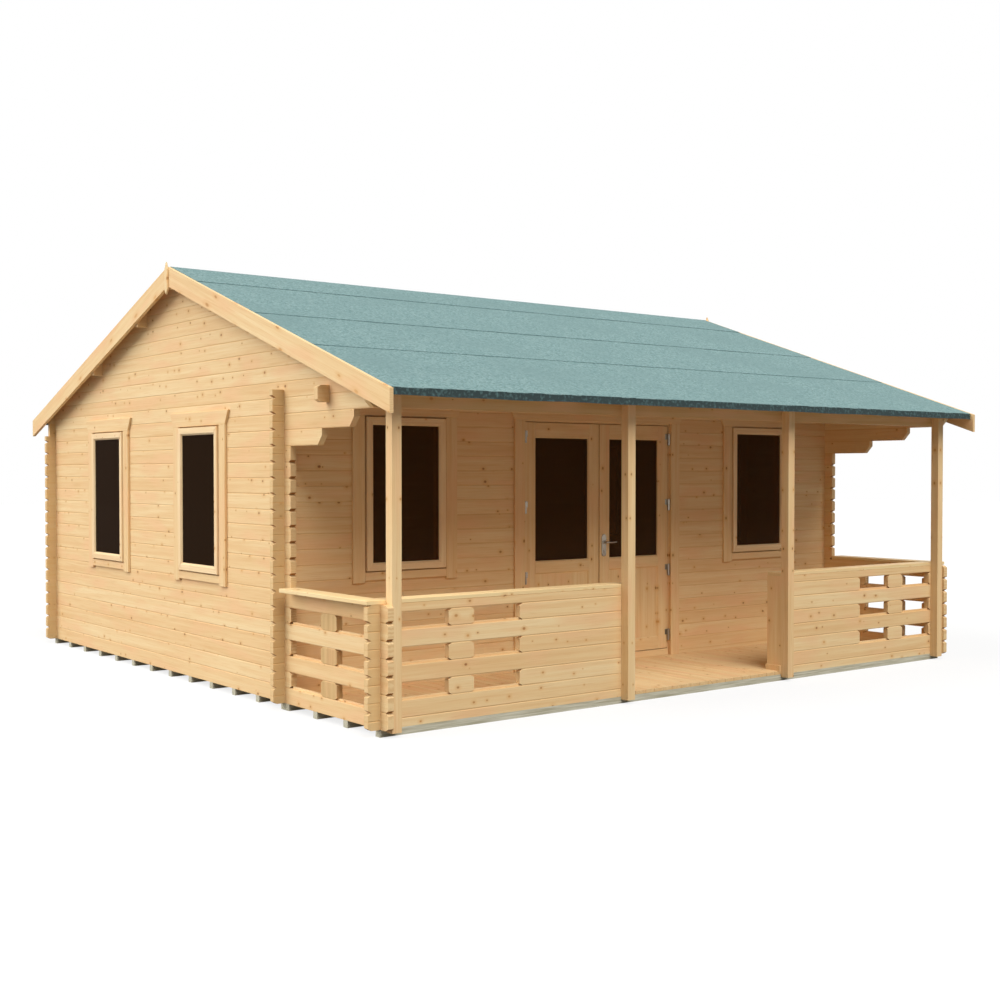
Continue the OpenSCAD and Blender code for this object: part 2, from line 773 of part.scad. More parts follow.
module hinge_seats() {
    color(steel) for (s = [0, 1]) mirror([s, 0, 0]) knuckles_low();
}

// Plate with round ends, spindle and tapered lever
module door_handle() {
    color(steel) translate([handle_x, front_y + leaf_back, foot + handle_z]) {
        rotate([90, 0, 0]) linear_extrude(plate_t) {
            translate([-plate_w / 2, -plate_drop]) square([plate_w, plate_l]);
            for (z = [-plate_drop, plate_l - plate_drop])
                translate([0, z]) circle(r = plate_w / 2, $fn = 48);
        }
        rotate([90, 0, 0]) cylinder(r = spindle_r, h = lever_out + lever_r, $fn = 12);
        translate([0, -lever_out, 0]) rotate([0, 90, 0])
            cylinder(r1 = lever_r, r2 = lever_r * 0.75, h = lever_l, $fn = 12);
    }
}

bearers();
cabin_floor();
veranda_floor();
front_wall_left();
front_wall_right();
front_wall_head();
gable_wall_left();
gable_wall_right();
rear_wall();
side_rail_left();
side_rail_right();
front_rail_left();
front_rail_right();
rail_caps();
rail_end_boards();
veranda_posts();
eave_beam();
tie_log();
purlins();
roof_boards_front();
roof_boards_rear();
felt_front();
felt_rear();
felt_ridge();
bargeboards_left();
bargeboards_right();
finials();
window_front_left();
window_front_right();
window_left_front();
window_left_rear();
window_right_front();
window_right_rear();
glass_front();
glass_left();
glass_right();
door_frame();
door_leaf_left();
door_leaf_right();
door_glass_left();
door_glass_right();
hinges_left();
hinges_right();
hinge_seats();
door_handle();
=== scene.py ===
import math
from functools import partial

import bmesh
import bpy
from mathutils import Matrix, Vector, noise

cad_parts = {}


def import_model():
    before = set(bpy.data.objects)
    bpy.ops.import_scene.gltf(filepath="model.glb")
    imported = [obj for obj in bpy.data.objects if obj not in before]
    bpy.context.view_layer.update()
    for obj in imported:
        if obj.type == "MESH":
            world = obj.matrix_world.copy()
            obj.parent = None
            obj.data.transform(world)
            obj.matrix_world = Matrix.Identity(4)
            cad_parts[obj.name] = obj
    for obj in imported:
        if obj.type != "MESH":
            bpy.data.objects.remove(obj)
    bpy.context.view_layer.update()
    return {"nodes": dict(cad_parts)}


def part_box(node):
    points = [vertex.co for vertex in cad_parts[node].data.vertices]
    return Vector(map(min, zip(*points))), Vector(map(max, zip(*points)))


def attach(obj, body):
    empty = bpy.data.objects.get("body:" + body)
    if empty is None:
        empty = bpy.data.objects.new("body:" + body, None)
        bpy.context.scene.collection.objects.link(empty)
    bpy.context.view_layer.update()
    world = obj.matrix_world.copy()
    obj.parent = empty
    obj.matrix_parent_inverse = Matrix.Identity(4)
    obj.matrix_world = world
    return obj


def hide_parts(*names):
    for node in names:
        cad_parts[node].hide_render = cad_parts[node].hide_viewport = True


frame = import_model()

nodes = frame["nodes"]
print("frame loaded:", len(nodes), "nodes")


# Node and mesh helpers
def srgb(hexText):
    parts = [int(hexText[i:i + 2], 16) / 255 for i in (1, 3, 5)]
    return [p / 12.92 if p <= 0.04045 else ((p + 0.055) / 1.055) ** 2.4 for p in parts] + [1.0]


def addNode(tree, kind, inputs=None, **settings):
    node = tree.nodes.new("ShaderNode" + kind)
    for key, value in settings.items():
        setattr(node, key, value)
    for key, value in (inputs or {}).items():
        if isinstance(value, bpy.types.NodeSocket):
            tree.links.new(value, node.inputs[key])
        else:
            node.inputs[key].default_value = value
    return node


def newMaterial(name):
    material = bpy.data.materials.new(name)
    material.use_nodes = True
    tree = material.node_tree
    tree.nodes.clear()
    return material, partial(addNode, tree)


def setRamp(node, stops):
    elements = node.color_ramp.elements
    while len(elements) < len(stops):
        elements.new(0.5)
    for element, (position, colour) in zip(elements, stops):
        element.position = position
        element.color = srgb(colour)


def newPiece(name, bm, materials, body, replaced=()):
    bmesh.ops.recalc_face_normals(bm, faces=bm.faces)
    mesh = bpy.data.meshes.new(name)
    bm.to_mesh(mesh)
    bm.free()
    for material in materials:
        mesh.materials.append(material)
    piece = bpy.data.objects.new(name, mesh)
    bpy.context.scene.collection.objects.link(piece)
    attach(piece, body)
    if replaced:
        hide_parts(*replaced)
    return piece


def addPrism(bm, ring0, ring1, index=0):
    # rings of points at the two ends, in the same order
    first = [bm.verts.new(p) for p in ring0]
    last = [bm.verts.new(p) for p in ring1]
    faces = [bm.faces.new(first[::-1]), bm.faces.new(last)]
    for i in range(len(first)):
        j = (i + 1) % len(first)
        faces.append(bm.faces.new([first[i], first[j], last[j], last[i]]))
    for face in faces:
        face.material_index = index


def addBoard(bm, at, lo, hi, index=0):
    ring = ((lo[0], lo[1]), (hi[0], lo[1]), (hi[0], hi[1]), (lo[0], hi[1]))
    addPrism(bm, [at(u, v, lo[2]) for u, v in ring], [at(u, v, hi[2]) for u, v in ring], index)


def addMitred(bm, at, width, height, profile):
    # four mitred members round an opening, profile in inset and depth
    # uprights take material 0 and rails material 1
    for s in (-1, 1):
        addPrism(bm, [at(s * (width / 2 - p), v, p) for p, v in profile],
                 [at(s * (width / 2 - p), v, height - p) for p, v in profile], 0)
    for top in (False, True):
        addPrism(bm, [at(p - width / 2, v, height - p if top else p) for p, v in profile],
                 [at(width / 2 - p, v, height - p if top else p) for p, v in profile], 1)


def skinRings(bm, rings):
    # closes a run of rings into a solid
    for a, b in zip(rings, rings[1:]):
        for k in range(len(a)):
            j = (k + 1) % len(a)
            bm.faces.new([a[k], a[j], b[j], b[k]])
    bm.faces.new(rings[0][::-1])
    bm.faces.new(rings[-1])


def addTube(bm, path, radii, sides):
    angles = [2 * math.pi * k / sides for k in range(sides)]
    rings = []
    for i, (point, radius) in enumerate(zip(path, radii)):
        ahead = Vector(path[min(i + 1, len(path) - 1)]) - Vector(path[max(i - 1, 0)])
        turn = ahead.to_track_quat("Z", "Y")
        spokes = [Vector((radius[0] * math.cos(a), radius[1] * math.sin(a), 0.0)) for a in angles]
        rings.append([bm.verts.new(Vector(point) + turn @ spoke) for spoke in spokes])
    skinRings(bm, rings)


def evenTube(bm, path, radii, sides):
    addTube(bm, path, [(radius, radius) for radius in radii], sides)


def easeEdges(bm, width):
    bmesh.ops.bevel(bm, geom=list(bm.edges), offset=width, segments=1, affect="EDGES", clamp_overlap=True)


def world(u, v, w):
    return u, v, w


# Sizes read from the frame, in metres
railLow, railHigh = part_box("front_rail_left")
wallFoot = railLow[2]
railLogs = 7
logHeight = (railHigh[2] - railLow[2]) / railLogs
floorLow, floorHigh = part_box("veranda_floor")
roomLow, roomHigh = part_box("cabin_floor")
feltLow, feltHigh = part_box("felt_front")
ridgeZ = feltHigh[2]
eaveOut = -feltLow[1]
roofEnd = feltHigh[0]
roofAngle = math.radians(19.1)      # pitch of the CAD roof
slope = math.tan(roofAngle)
cosine = math.cos(roofAngle)
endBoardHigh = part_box("rail_end_boards")[1]
wallLow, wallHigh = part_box("front_wall_left")
frontY = wallLow[1]
wallThick = wallHigh[1] - wallLow[1]


# Planed spruce: pale straw with faint amber growth lines and peach clouds, dotted with small orange-brown knots
pineLook = {
    "pale": "#F1D4A2", "straw": "#EBC893", "amber": "#E4BA83",
    "peach": "#EDBF8D", "peachWeight": 0.7, "line": "#D2A068", "lineWeight": 0.40,
    "knotDark": "#935C30", "knotPale": "#D09655", "knotWeight": 0.9, "halo": "#DFAC6E", "haloWeight": 0.40,
    # painted shade: the joint colour darkens a line along each joint, for the shade in the V joint
    # painted shade: the saw cut colour darkens the undersides of the saw cuts in the log ends
    "joint": "#D6A86C", "jointWeight": 0.4, "sawCut": "#A4723E", "sawAngle": 29.7,
    "endGrain": "#EACA96", "endRing": "#DBB27C", "endWeight": 0.8,
    # painted shade: log ends past the corners in X take a darker tone for the shade in the nook
    "stub": "#C9A873", "stubFrom": 2.996, "stubWeight": 0.6,
    "grainWidth": 0.006, "grainLength": 0.30,      # real growth lines are 2 to 4 mm, drawn coarser to show
    "ringWidth": 0.0057,                           # growth rings on sawn ends, drawn coarser too
    "streakWidth": 0.040, "streakLength": 1.3, "cloudWidth": 0.16, "cloudLength": 0.6,
    "memberSize": 1.111, "memberShift": 0.1, "rowShift": 37.0,
    "knotCell": (0.150, 0.112), "knotSmall": 0.026, "knotLarge": 0.105, "knotless": 0.62,
    "rowTone": 0.32, "jointHalf": 0.0032, "roughness": 0.62,
}


def pine(name, grainAxis, stack=None, look=None, tilt=0.0):
    # stack: axis, start and pitch of the logs or boards that lie side by side, tilt: slope of a raking member
    spec = {**pineLook, **(look or {})}
    material, add = newMaterial(name)
    where = add("TexCoord").outputs["Object"]
    axes = add("SeparateXYZ", {0: where})
    sides = [axes.outputs[a] for a in "XYZ" if a != grainAxis]
    across = add("Math", {0: sides[0], 1: sides[1]}, operation="ADD").outputs[0]
    if tilt:
        run = add("Math", {0: axes.outputs["Y"]}, operation="ABSOLUTE").outputs[0]
        across = add("Math", {0: run, 1: tilt, 2: across}, operation="MULTIPLY_ADD").outputs[0]
    if stack:
        start = add("Math", {0: axes.outputs[stack[0]], 1: stack[1]}, operation="SUBTRACT").outputs[0]
        row = add("Math", {0: start, 1: stack[2]}, operation="DIVIDE").outputs[0]
        index = add("Math", {0: row}, operation="FLOOR").outputs[0]
        draw = add("TexWhiteNoise", {"W": index}, noise_dimensions="1D").outputs["Value"]
    else:
        draw = add("TexNoise", {"Vector": where, "Scale": 1 / spec["memberSize"], "Detail": 0.0}).outputs[0]
    # each row takes its own stretch of the grain
    spread = spec["rowShift" if stack else "memberShift"]
    shift = add("Math", {0: draw, 1: spread, 2: axes.outputs[grainAxis]}, operation="MULTIPLY_ADD").outputs[0]
    flat = add("CombineXYZ", {0: shift, 1: across}).outputs[0]

    def stretched(length, width):
        return add("VectorMath", {0: flat, 1: (1 / length, 1 / width, 1.0)}, operation="MULTIPLY").outputs[0]

    grainAt = stretched(spec["grainLength"], spec["grainWidth"])
    grain = add("TexNoise", {"Vector": grainAt, "Scale": 1.0, "Detail": 3.0, "Roughness": 0.6},
                noise_dimensions="2D").outputs[0]
    streakAt = stretched(spec["streakLength"], spec["streakWidth"])
    streak = add("TexNoise", {"Vector": streakAt, "Scale": 1.0, "Detail": 2.0, "Distortion": 0.4},
                 noise_dimensions="2D").outputs[0]
    cloudAt = stretched(spec["cloudLength"], spec["cloudWidth"])
    cloud = add("TexNoise", {"Vector": cloudAt, "Scale": 1.0, "Detail": 1.0}, noise_dimensions="2D").outputs[0]
    cells = add("TexVoronoi", {"Vector": stretched(*spec["knotCell"]), "Scale": 1.0, "Randomness": 1.0},
                voronoi_dimensions="2D")
    dice = add("SeparateColor", {0: cells.outputs["Color"]})
    size = add("MapRange", {0: dice.outputs[0], 3: spec["knotSmall"], 4: spec["knotLarge"]}).outputs[0]
    grown = add("Math", {0: dice.outputs[1], 1: spec["knotless"]}, operation="GREATER_THAN").outputs[0]
    size = add("Math", {0: size, 1: grown, 2: 0.0005}, operation="MULTIPLY_ADD").outputs[0]
    away = add("Math", {0: cells.outputs["Distance"], 1: size}, operation="DIVIDE").outputs[0]
    # a knot fades out over its rim, its halo over about three times its size
    core = add("MapRange", {0: away, 1: 1.25, 2: 0.4, 4: spec["knotWeight"]},
               interpolation_type="SMOOTHSTEP").outputs[0]
    halo = add("MapRange", {0: away, 1: 3.4, 2: 1.0, 4: spec["haloWeight"]},
               interpolation_type="SMOOTHSTEP").outputs[0]
    tone = add("Math", {0: streak, 1: 0.9, 2: 0.05 - spec["rowTone"] / 2}, operation="MULTIPLY_ADD").outputs[0]
    tone = add("Math", {0: draw, 1: spec["rowTone"], 2: tone}, operation="MULTIPLY_ADD").outputs[0]
    ramp = add("ValToRGB", {0: tone})
    setRamp(ramp, [(0.15, spec["pale"]), (0.5, spec["straw"]), (0.85, spec["amber"])])
    warm = add("MapRange", {0: cloud, 1: 0.5, 2: 0.72, 4: spec["peachWeight"]}).outputs[0]
    colour = add("Mix", {0: warm, 6: ramp.outputs[0], 7: srgb(spec["peach"])}, data_type="RGBA").outputs[2]
    lines = add("MapRange", {0: grain, 1: 0.52, 2: 0.80, 4: spec["lineWeight"]}).outputs[0]
    colour = add("Mix", {0: lines, 6: colour, 7: srgb(spec["line"])}, data_type="RGBA").outputs[2]
    colour = add("Mix", {0: halo, 6: colour, 7: srgb(spec["halo"])}, data_type="RGBA").outputs[2]
    knot = add("Mix", {0: dice.outputs[2], 6: srgb(spec["knotDark"]), 7: srgb(spec["knotPale"])},
               data_type="RGBA").outputs[2]
    colour = add("Mix", {0: core, 6: colour, 7: knot}, data_type="RGBA").outputs[2]
    if stack and grainAxis == "X":      # painted shade: log ends past the corners, toned darker to match the shade in the nook between the crossing logs
        reach = add("Math", {0: axes.outputs["X"]}, operation="ABSOLUTE").outputs[0]
        stub = add("MapRange", {0: reach, 1: spec["stubFrom"] - 0.004, 2: spec["stubFrom"] + 0.004,
                                4: spec["stubWeight"]}).outputs[0]
        colour = add("Mix", {0: stub, 6: colour, 7: srgb(spec["stub"])}, data_type="RGBA").outputs[2]
    # sawn ends show rings in place of growth lines
    turned = add("SeparateXYZ", {0: add("NewGeometry").outputs["True Normal"]})
    facing = add("Math", {0: turned.outputs[grainAxis]}, operation="ABSOLUTE").outputs[0]
    sawn = add("MapRange", {0: facing, 1: 0.8, 2: 0.95, 4: spec["endWeight"]}).outputs[0]
    ringScale = math.pi / 10 / spec["ringWidth"]      # the wave node draws a ring each pi / 10 at scale 1
    rings = add("TexWave", {"Vector": where, "Scale": ringScale, "Distortion": 2.0, "Detail": 1.0},
                wave_type="RINGS").outputs["Fac"]
    ends = add("Mix", {0: rings, 6: srgb(spec["endGrain"]), 7: srgb(spec["endRing"])}, data_type="RGBA").outputs[2]
    colour = add("Mix", {0: sawn, 6: colour, 7: ends}, data_type="RGBA").outputs[2]
    if stack:
        inRow = add("Math", {0: row}, operation="FRACT").outputs[0]
        fromMiddle = add("Math", {0: inRow, 1: 0.5}, operation="SUBTRACT").outputs[0]
        fromMiddle = add("Math", {0: fromMiddle}, operation="ABSOLUTE").outputs[0]
        # painted shade: a darker line along each joint between logs and between boards, for the shade in the V joint
        half = spec["jointHalf"] / stack[2]
        joint = add("MapRange", {0: fromMiddle, 1: 0.5 - 2 * half, 2: 0.5 - half * 0.6,
                                 4: spec["jointWeight"]}).outputs[0]
        colour = add("Mix", {0: joint, 6: colour, 7: srgb(spec["joint"])}, data_type="RGBA").outputs[2]
        # painted shade: the downward-facing faces of the saw cuts in the log ends are darkened, for the shade under
        # each log end
        cutFacing = -math.cos(math.radians(spec["sawAngle"]))
        cut = add("Math", {0: turned.outputs["Z"], 1: cutFacing, 2: 0.02}, operation="COMPARE").outputs[0]
        colour = add("Mix", {0: cut, 6: colour, 7: srgb(spec["sawCut"])}, data_type="RGBA").outputs[2]
    rough = add("MapRange", {0: grain, 1: 0.2, 2: 0.8,
                             3: spec["roughness"] - 0.08, 4: spec["roughness"] + 0.10}).outputs[0]
    relief = add("Math", {0: core, 1: -0.6, 2: grain}, operation="MULTIPLY_ADD").outputs[0]
    bump = add("Bump", {"Strength": 0.2, "Distance": 0.001, "Height": relief}).outputs[0]
    shader = add("BsdfPrincipled", {"Base Color": colour, "Roughness": rough, "Normal": bump, "IOR": 1.47,
                                    "Specular IOR Level": 0.3})
    add("OutputMaterial", {0: shader.outputs[0]})
    return material


# Mineral felt: slate-green stone chips pressed into bitumen, dull with a fine pepper of light and dark
feltLook = {
    "chip": "#759190", "paleChip": "#8BA19F", "darkChip": "#5B7877", "patch": "#6E8887",
    "chipSize": 0.013,     # real chips are 1 to 2 mm, drawn coarser to show
    "fleckShare": 0.45, "patchSize": 0.6, "roughness": 0.93,
}


def mineralFelt():
    spec = feltLook
    material, add = newMaterial("mineral_felt_stone_chipped")
    where = add("TexCoord").outputs["Object"]
    chips = add("TexVoronoi", {"Vector": where, "Scale": 1 / spec["chipSize"]})
    dice = add("SeparateColor", {0: chips.outputs["Color"]}).outputs[0]
    cloud = add("TexNoise", {"Vector": where, "Scale": 1 / spec["patchSize"], "Detail": 4.0}).outputs[0]
    fleck = add("TexNoise", {"Vector": where, "Scale": 0.5 / spec["chipSize"], "Detail": 2.0}).outputs[0]
    mixed = add("Mix", {0: spec["fleckShare"], 2: dice, 3: fleck}).outputs[0]
    ramp = add("ValToRGB", {0: mixed})
    setRamp(ramp, [(0.18, spec["darkChip"]), (0.5, spec["chip"]), (0.86, spec["paleChip"])])
    worn = add("MapRange", {0: cloud, 1: 0.42, 2: 0.7, 3: 0.0, 4: 0.6}).outputs[0]
    colour = add("Mix", {0: worn, 6: ramp.outputs[0], 7: srgb(spec["patch"])}, data_type="RGBA").outputs[2]
    rough = add("MapRange", {0: dice, 3: spec["roughness"] - 0.08, 4: spec["roughness"]}).outputs[0]
    bump = add("Bump", {"Strength": 0.35, "Distance": 0.0015, "Height": mixed}).outputs[0]
    shader = add("BsdfPrincipled", {"Base Color": colour, "Roughness": rough, "Normal": bump,
                                    "Specular IOR Level": 0.2})
    add("OutputMaterial", {0: shader.outputs[0]})
    return material


# Bitumen at the laps and on the folded eave: near black, dusted with green chips
# grit is the size of the dusty clusters, as single chips are too fine to show
bitumenLook = {"tar": "#2F3D3D", "dusted": "#5E7B7A", "grit": 0.022, "roughness": 0.8}
# the lap beads are partly bitumen and partly painted shade under each lap's edge
lapLook = {"tar": "#3E5959", "dusted": "#7E9C9A", "grit": 0.030, "roughness": 0.85}


def bitumenEdge(name, spec):
    material, add = newMaterial(name)
    where = add("TexCoord").outputs["Object"]
    grit = add("TexNoise", {"Vector": where, "Scale": 1 / spec["grit"], "Detail": 3.0}).outputs[0]
    dust = add("MapRange", {0: grit, 1: 0.5, 2: 0.75, 3: 0.0, 4: 0.8}).outputs[0]
    colour = add("Mix", {0: dust, 6: srgb(spec["tar"]), 7: srgb(spec["dusted"])}, data_type="RGBA").outputs[2]
    rough = add("MapRange", {0: grit, 3: spec["roughness"] - 0.1, 4: spec["roughness"] + 0.1}).outputs[0]
    bump = add("Bump", {"Strength": 0.3, "Distance": 0.002, "Height": grit}).outputs[0]
    shader = add("BsdfPrincipled", {"Base Color": colour, "Roughness": rough, "Normal": bump,
                                    "Specular IOR Level": 0.3})
    add("OutputMaterial", {0: shader.outputs[0]})
    return material


# Pressure-treated softwood, sawn: grey-green salts over brown, fuzzy and dull
treatedLook = {
    "salt": "#D3CEB9", "brown": "#ABA48A", "roughness": 0.85,
    "sawMark": 0.009, "fibre": 0.3,      # real saw marks are 2 to 3 mm apart, drawn coarser to show
}


def treatedTimber():
    spec = treatedLook
    material, add = newMaterial("treated_softwood_sawn")
    axes = add("SeparateXYZ", {0: add("TexCoord").outputs["Object"]})
    across = add("Math", {0: axes.outputs[1], 1: axes.outputs[2]}, operation="ADD").outputs[0]
    flat = add("CombineXYZ", {0: axes.outputs[0], 1: across}).outputs[0]
    fibreAt = add("VectorMath", {0: flat, 1: (1 / spec["fibre"], 1 / spec["sawMark"], 1.0)},
                  operation="MULTIPLY").outputs[0]
    fibre = add("TexNoise", {"Vector": fibreAt, "Scale": 1.0, "Detail": 4.0}, noise_dimensions="2D").outputs[0]
    stain = add("MapRange", {0: fibre, 1: 0.35, 2: 0.7}).outputs[0]
    colour = add("Mix", {0: stain, 6: srgb(spec["salt"]), 7: srgb(spec["brown"])}, data_type="RGBA").outputs[2]
    rough = add("MapRange", {0: fibre, 3: spec["roughness"] - 0.1, 4: spec["roughness"] + 0.05}).outputs[0]
    bump = add("Bump", {"Strength": 0.3, "Distance": 0.001, "Height": fibre}).outputs[0]
    shader = add("BsdfPrincipled", {"Base Color": colour, "Roughness": rough, "Normal": bump,
                                    "Specular IOR Level": 0.25})
    add("OutputMaterial", {0: shader.outputs[0]})
    return material


# Float glass before an unlit room: brown-black, the joinery behind it just showing
# the real index is 1.52, lowered because the panes show no bright mirror image
glassLook = {"body": "#8F6F50", "through": 0.87, "ior": 1.03, "ripple": 0.35}
gableGlassShadeLook = {**glassLook, "body": "#3E2A18", "through": 0.62}      # darker and less clear, painted shade for the unlit room behind, which keeps the far panes from showing


def windowGlass(name, spec):
    material, add = newMaterial(name)
    where = add("TexCoord").outputs["Object"]
    ripple = add("TexNoise", {"Vector": where, "Scale": 1 / spec["ripple"], "Detail": 1.0}).outputs[0]
    rough = add("MapRange", {0: ripple, 3: 0.0, 4: 0.03}).outputs[0]
    bump = add("Bump", {"Strength": 0.02, "Distance": 0.002, "Height": ripple}).outputs[0]
    shader = add("BsdfPrincipled", {"Base Color": srgb(spec["body"]), "Roughness": rough, "Normal": bump,
                                    "IOR": spec["ior"], "Transmission Weight": spec["through"]})
    add("OutputMaterial", {0: shader.outputs[0]})
    return material


# Satin nickel plate, brushed: soft grey streaks along the brushing
nickelLook = {
    "metal": "#ABA294", "worn": "#877E70", "roughness": 0.32,
    "brush": 0.0025, "brushLength": 0.0833,      # real brushing is under 0.5 mm, drawn coarser to show
}


def satinNickel():
    spec = nickelLook
    material, add = newMaterial("satin_nickel_brushed")
    where = add("TexCoord").outputs["Object"]
    fine = 1 / spec["brush"]
    brushAt = add("VectorMath", {0: where, 1: (fine, fine, 1 / spec["brushLength"])}, operation="MULTIPLY").outputs[0]
    brush = add("TexNoise", {"Vector": brushAt, "Scale": 1.0, "Detail": 2.0}).outputs[0]
    colour = add("Mix", {0: brush, 6: srgb(spec["metal"]), 7: srgb(spec["worn"])}, data_type="RGBA").outputs[2]
    rough = add("MapRange", {0: brush, 3: spec["roughness"] - 0.06, 4: spec["roughness"] + 0.1}).outputs[0]
    bump = add("Bump", {"Strength": 0.08, "Distance": 0.0003, "Height": brush}).outputs[0]
    shader = add("BsdfPrincipled", {"Base Color": colour, "Roughness": rough, "Normal": bump, "Metallic": 1.0})
    add("OutputMaterial", {0: shader.outputs[0]})
    return material


boardPitch = 0.098
boardStart = -10.0      # boards are counted from here, well outside the floors
# sanded joinery is paler and smoother, caps yellower, sawn blocks darker with upright ribs, the eave beam browner as
# painted shade under the eave
joineryLook = {"pale": "#F8DFB3", "straw": "#F3D4A4", "amber": "#EAC591", "peach": "#F0CB9B", "roughness": 0.5,
               "knotless": 0.78}
capPineLook = {**joineryLook, "pale": "#F4DCA8", "straw": "#EED19A", "amber": "#E4C188", "peach": "#EBC893",
               "knotless": 0.6}
blockLook = {"pale": "#DAB882", "straw": "#D1AD77", "amber": "#C49C66", "peach": "#D4A875", "line": "#B28650",
             "grainWidth": 0.014, "knotless": 1.0}
# painted shade: darker tones for the eave beam, standing in for the shade under the eave
eaveShadeLook = {"pale": "#E6C38C", "straw": "#DDB57B", "amber": "#D2A66A"}
rakingLook = {"knotCell": (0.34, 0.16), "knotSmall": 0.05, "knotLarge": 0.10, "knotless": 0.25,
              "knotDark": "#BC8146", "knotPale": "#DDA766", "halo": "#E2B176"}      # few knots, soft and wide
trimLook = {"knotless": 0.7}
boardLook = {"jointHalf": 0.001}
logsAlongY = pine("spruce_log_planed_along_y", "Y", ("Z", wallFoot, logHeight))
logsAlongX = pine("spruce_log_planed_along_x", "X", ("Z", wallFoot + logHeight / 2, logHeight))
blockPine = pine("spruce_block_sawn", "Z", look=blockLook)
timberAlongX = pine("spruce_beam_planed_along_x", "X")
shadedEaveTimber = pine("spruce_eave_beam_planed", "X", look=eaveShadeLook)
timberAlongZ = pine("spruce_post_planed_along_z", "Z")
capAlongX = pine("spruce_cap_planed_along_x", "X", look=capPineLook)
capAlongY = pine("spruce_cap_planed_along_y", "Y", look=capPineLook)
rakingBoard = pine("spruce_bargeboard_planed", "Y", look=rakingLook, tilt=slope)
floorBoards = pine("spruce_floor_board_planed", "Y", ("X", boardStart, boardPitch), boardLook)
roofDeck = pine("spruce_roof_board_planed", "Y", ("X", boardStart, boardPitch), boardLook, tilt=slope)
trimAlongX = pine("spruce_trim_planed_along_x", "X", look=trimLook)
trimAlongY = pine("spruce_trim_planed_along_y", "Y", look=trimLook)
trimAlongZ = pine("spruce_trim_planed_along_z", "Z", look=trimLook)
sashAlongX = pine("spruce_sash_sanded_along_x", "X", look=joineryLook)
sashAlongY = pine("spruce_sash_sanded_along_y", "Y", look=joineryLook)
sashAlongZ = pine("spruce_sash_sanded_along_z", "Z", look=joineryLook)
felt = mineralFelt()
bitumen = bitumenEdge("bitumen_edge_cut", bitumenLook)
lapBitumenAndShade = bitumenEdge("bitumen_lap_torched", lapLook)
treated = treatedTimber()
glass = windowGlass("float_glass_polished", glassLook)
shadedGableGlass = windowGlass("float_glass_tinted", gableGlassShadeLook)
nickel = satinNickel()
print("materials made:", len(bpy.data.materials))

finishOf = {
    "bearers": treated, "cabin_floor": floorBoards, "veranda_floor": floorBoards,
    "gable_wall_left": logsAlongY, "gable_wall_right": logsAlongY,
    "side_rail_left": logsAlongY, "side_rail_right": logsAlongY,
    "front_wall_left": logsAlongX, "front_wall_right": logsAlongX, "front_wall_head": logsAlongX,
    "rear_wall": logsAlongX, "front_rail_left": logsAlongX, "front_rail_right": logsAlongX,
    "tie_log": timberAlongX, "eave_beam": shadedEaveTimber, "purlins": timberAlongX,
    "rail_caps": timberAlongX, "rail_end_boards": timberAlongZ, "veranda_posts": timberAlongZ,
    "roof_boards_front": roofDeck, "roof_boards_rear": roofDeck,
    "felt_front": felt, "felt_rear": felt, "felt_ridge": felt,
    "bargeboards_left": rakingBoard, "bargeboards_right": rakingBoard, "finials": timberAlongZ,
    "glass_left": shadedGableGlass, "glass_right": shadedGableGlass,
    "hinges_left": nickel, "hinges_right": nickel, "hinge_seats": nickel, "door_handle": nickel,
}
for name, node in nodes.items():
    finish = finishOf.get(name, glass if "glass" in name else trimAlongZ)
    node.data.materials.clear()
    node.data.materials.append(finish)


# Log walls and rails: the logs of the CAD with the V joints pressed shallower, as planed arrises leave them
logEasing = {"groove": 0.0065, "keep": 0.45, "blockAt": 0.473, "blockWide": 0.248}


def easeLogs(name, axis, finish, firstJoint):
    low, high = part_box(name)
    bm = bmesh.new()
    bm.from_mesh(nodes[name].data)
    bmesh.ops.remove_doubles(bm, verts=bm.verts, dist=0.00001)
    for vert in bm.verts:
        rows = (vert.co.z - firstJoint) / logHeight
        if abs(rows - round(rows)) * logHeight > logEasing["groove"]:
            continue
        for face, inward in ((low[axis], 1), (high[axis], -1)):
            depth = (vert.co[axis] - face) * inward
            if 0.0 < depth < logEasing["groove"]:
                vert.co[axis] = face + inward * depth * logEasing["keep"]
                break
    if name == "side_rail_left":      # its short blocks are cut with the grain upright
        start = railHigh[1] + logEasing["blockAt"]
        end = start + logEasing["blockWide"]
        for face in bm.faces:
            row = (face.calc_center_median().z - firstJoint) / logHeight
            if row % 2 > 1 and all(start < vert.co.y < end for vert in face.verts):
                face.material_index = 1
    newPiece(name + "_logs", bm, [finish, blockPine], "cabin", [name])


for name, finish in finishOf.items():
    if finish is logsAlongY:
        easeLogs(name, 0, finish, wallFoot)
    elif finish is logsAlongX:
        easeLogs(name, 1, finish, wallFoot + logHeight / 2)
print("log joints eased")

# Floor boards of the veranda and the room, laid front to back with small open joints
boardLaying = {"pitch": boardPitch, "gap": 0.003, "ease": 0.0015}


def layBoards(bm, x0, x1, y0, y1, z0, z1):
    count = max(1, round((x1 - x0) / boardLaying["pitch"]))
    step = (x1 - x0) / count
    for i in range(count):
        addBoard(bm, world, (x0 + i * step + boardLaying["gap"] / 2, y0, z0),
                 (x0 + (i + 1) * step - boardLaying["gap"] / 2, y1, z1))


bm = bmesh.new()
inner = railHigh[1]      # inner face of the front rail
wayIn = endBoardHigh[0]
layBoards(bm, floorLow[0], -wayIn, inner, floorHigh[1], floorLow[2], floorHigh[2])
layBoards(bm, -wayIn, wayIn, floorLow[1], floorHigh[1], floorLow[2], floorHigh[2])
layBoards(bm, wayIn, floorHigh[0], inner, floorHigh[1], floorLow[2], floorHigh[2])
easeEdges(bm, boardLaying["ease"])
newPiece("veranda_boards", bm, [floorBoards], "cabin", ["veranda_floor"])

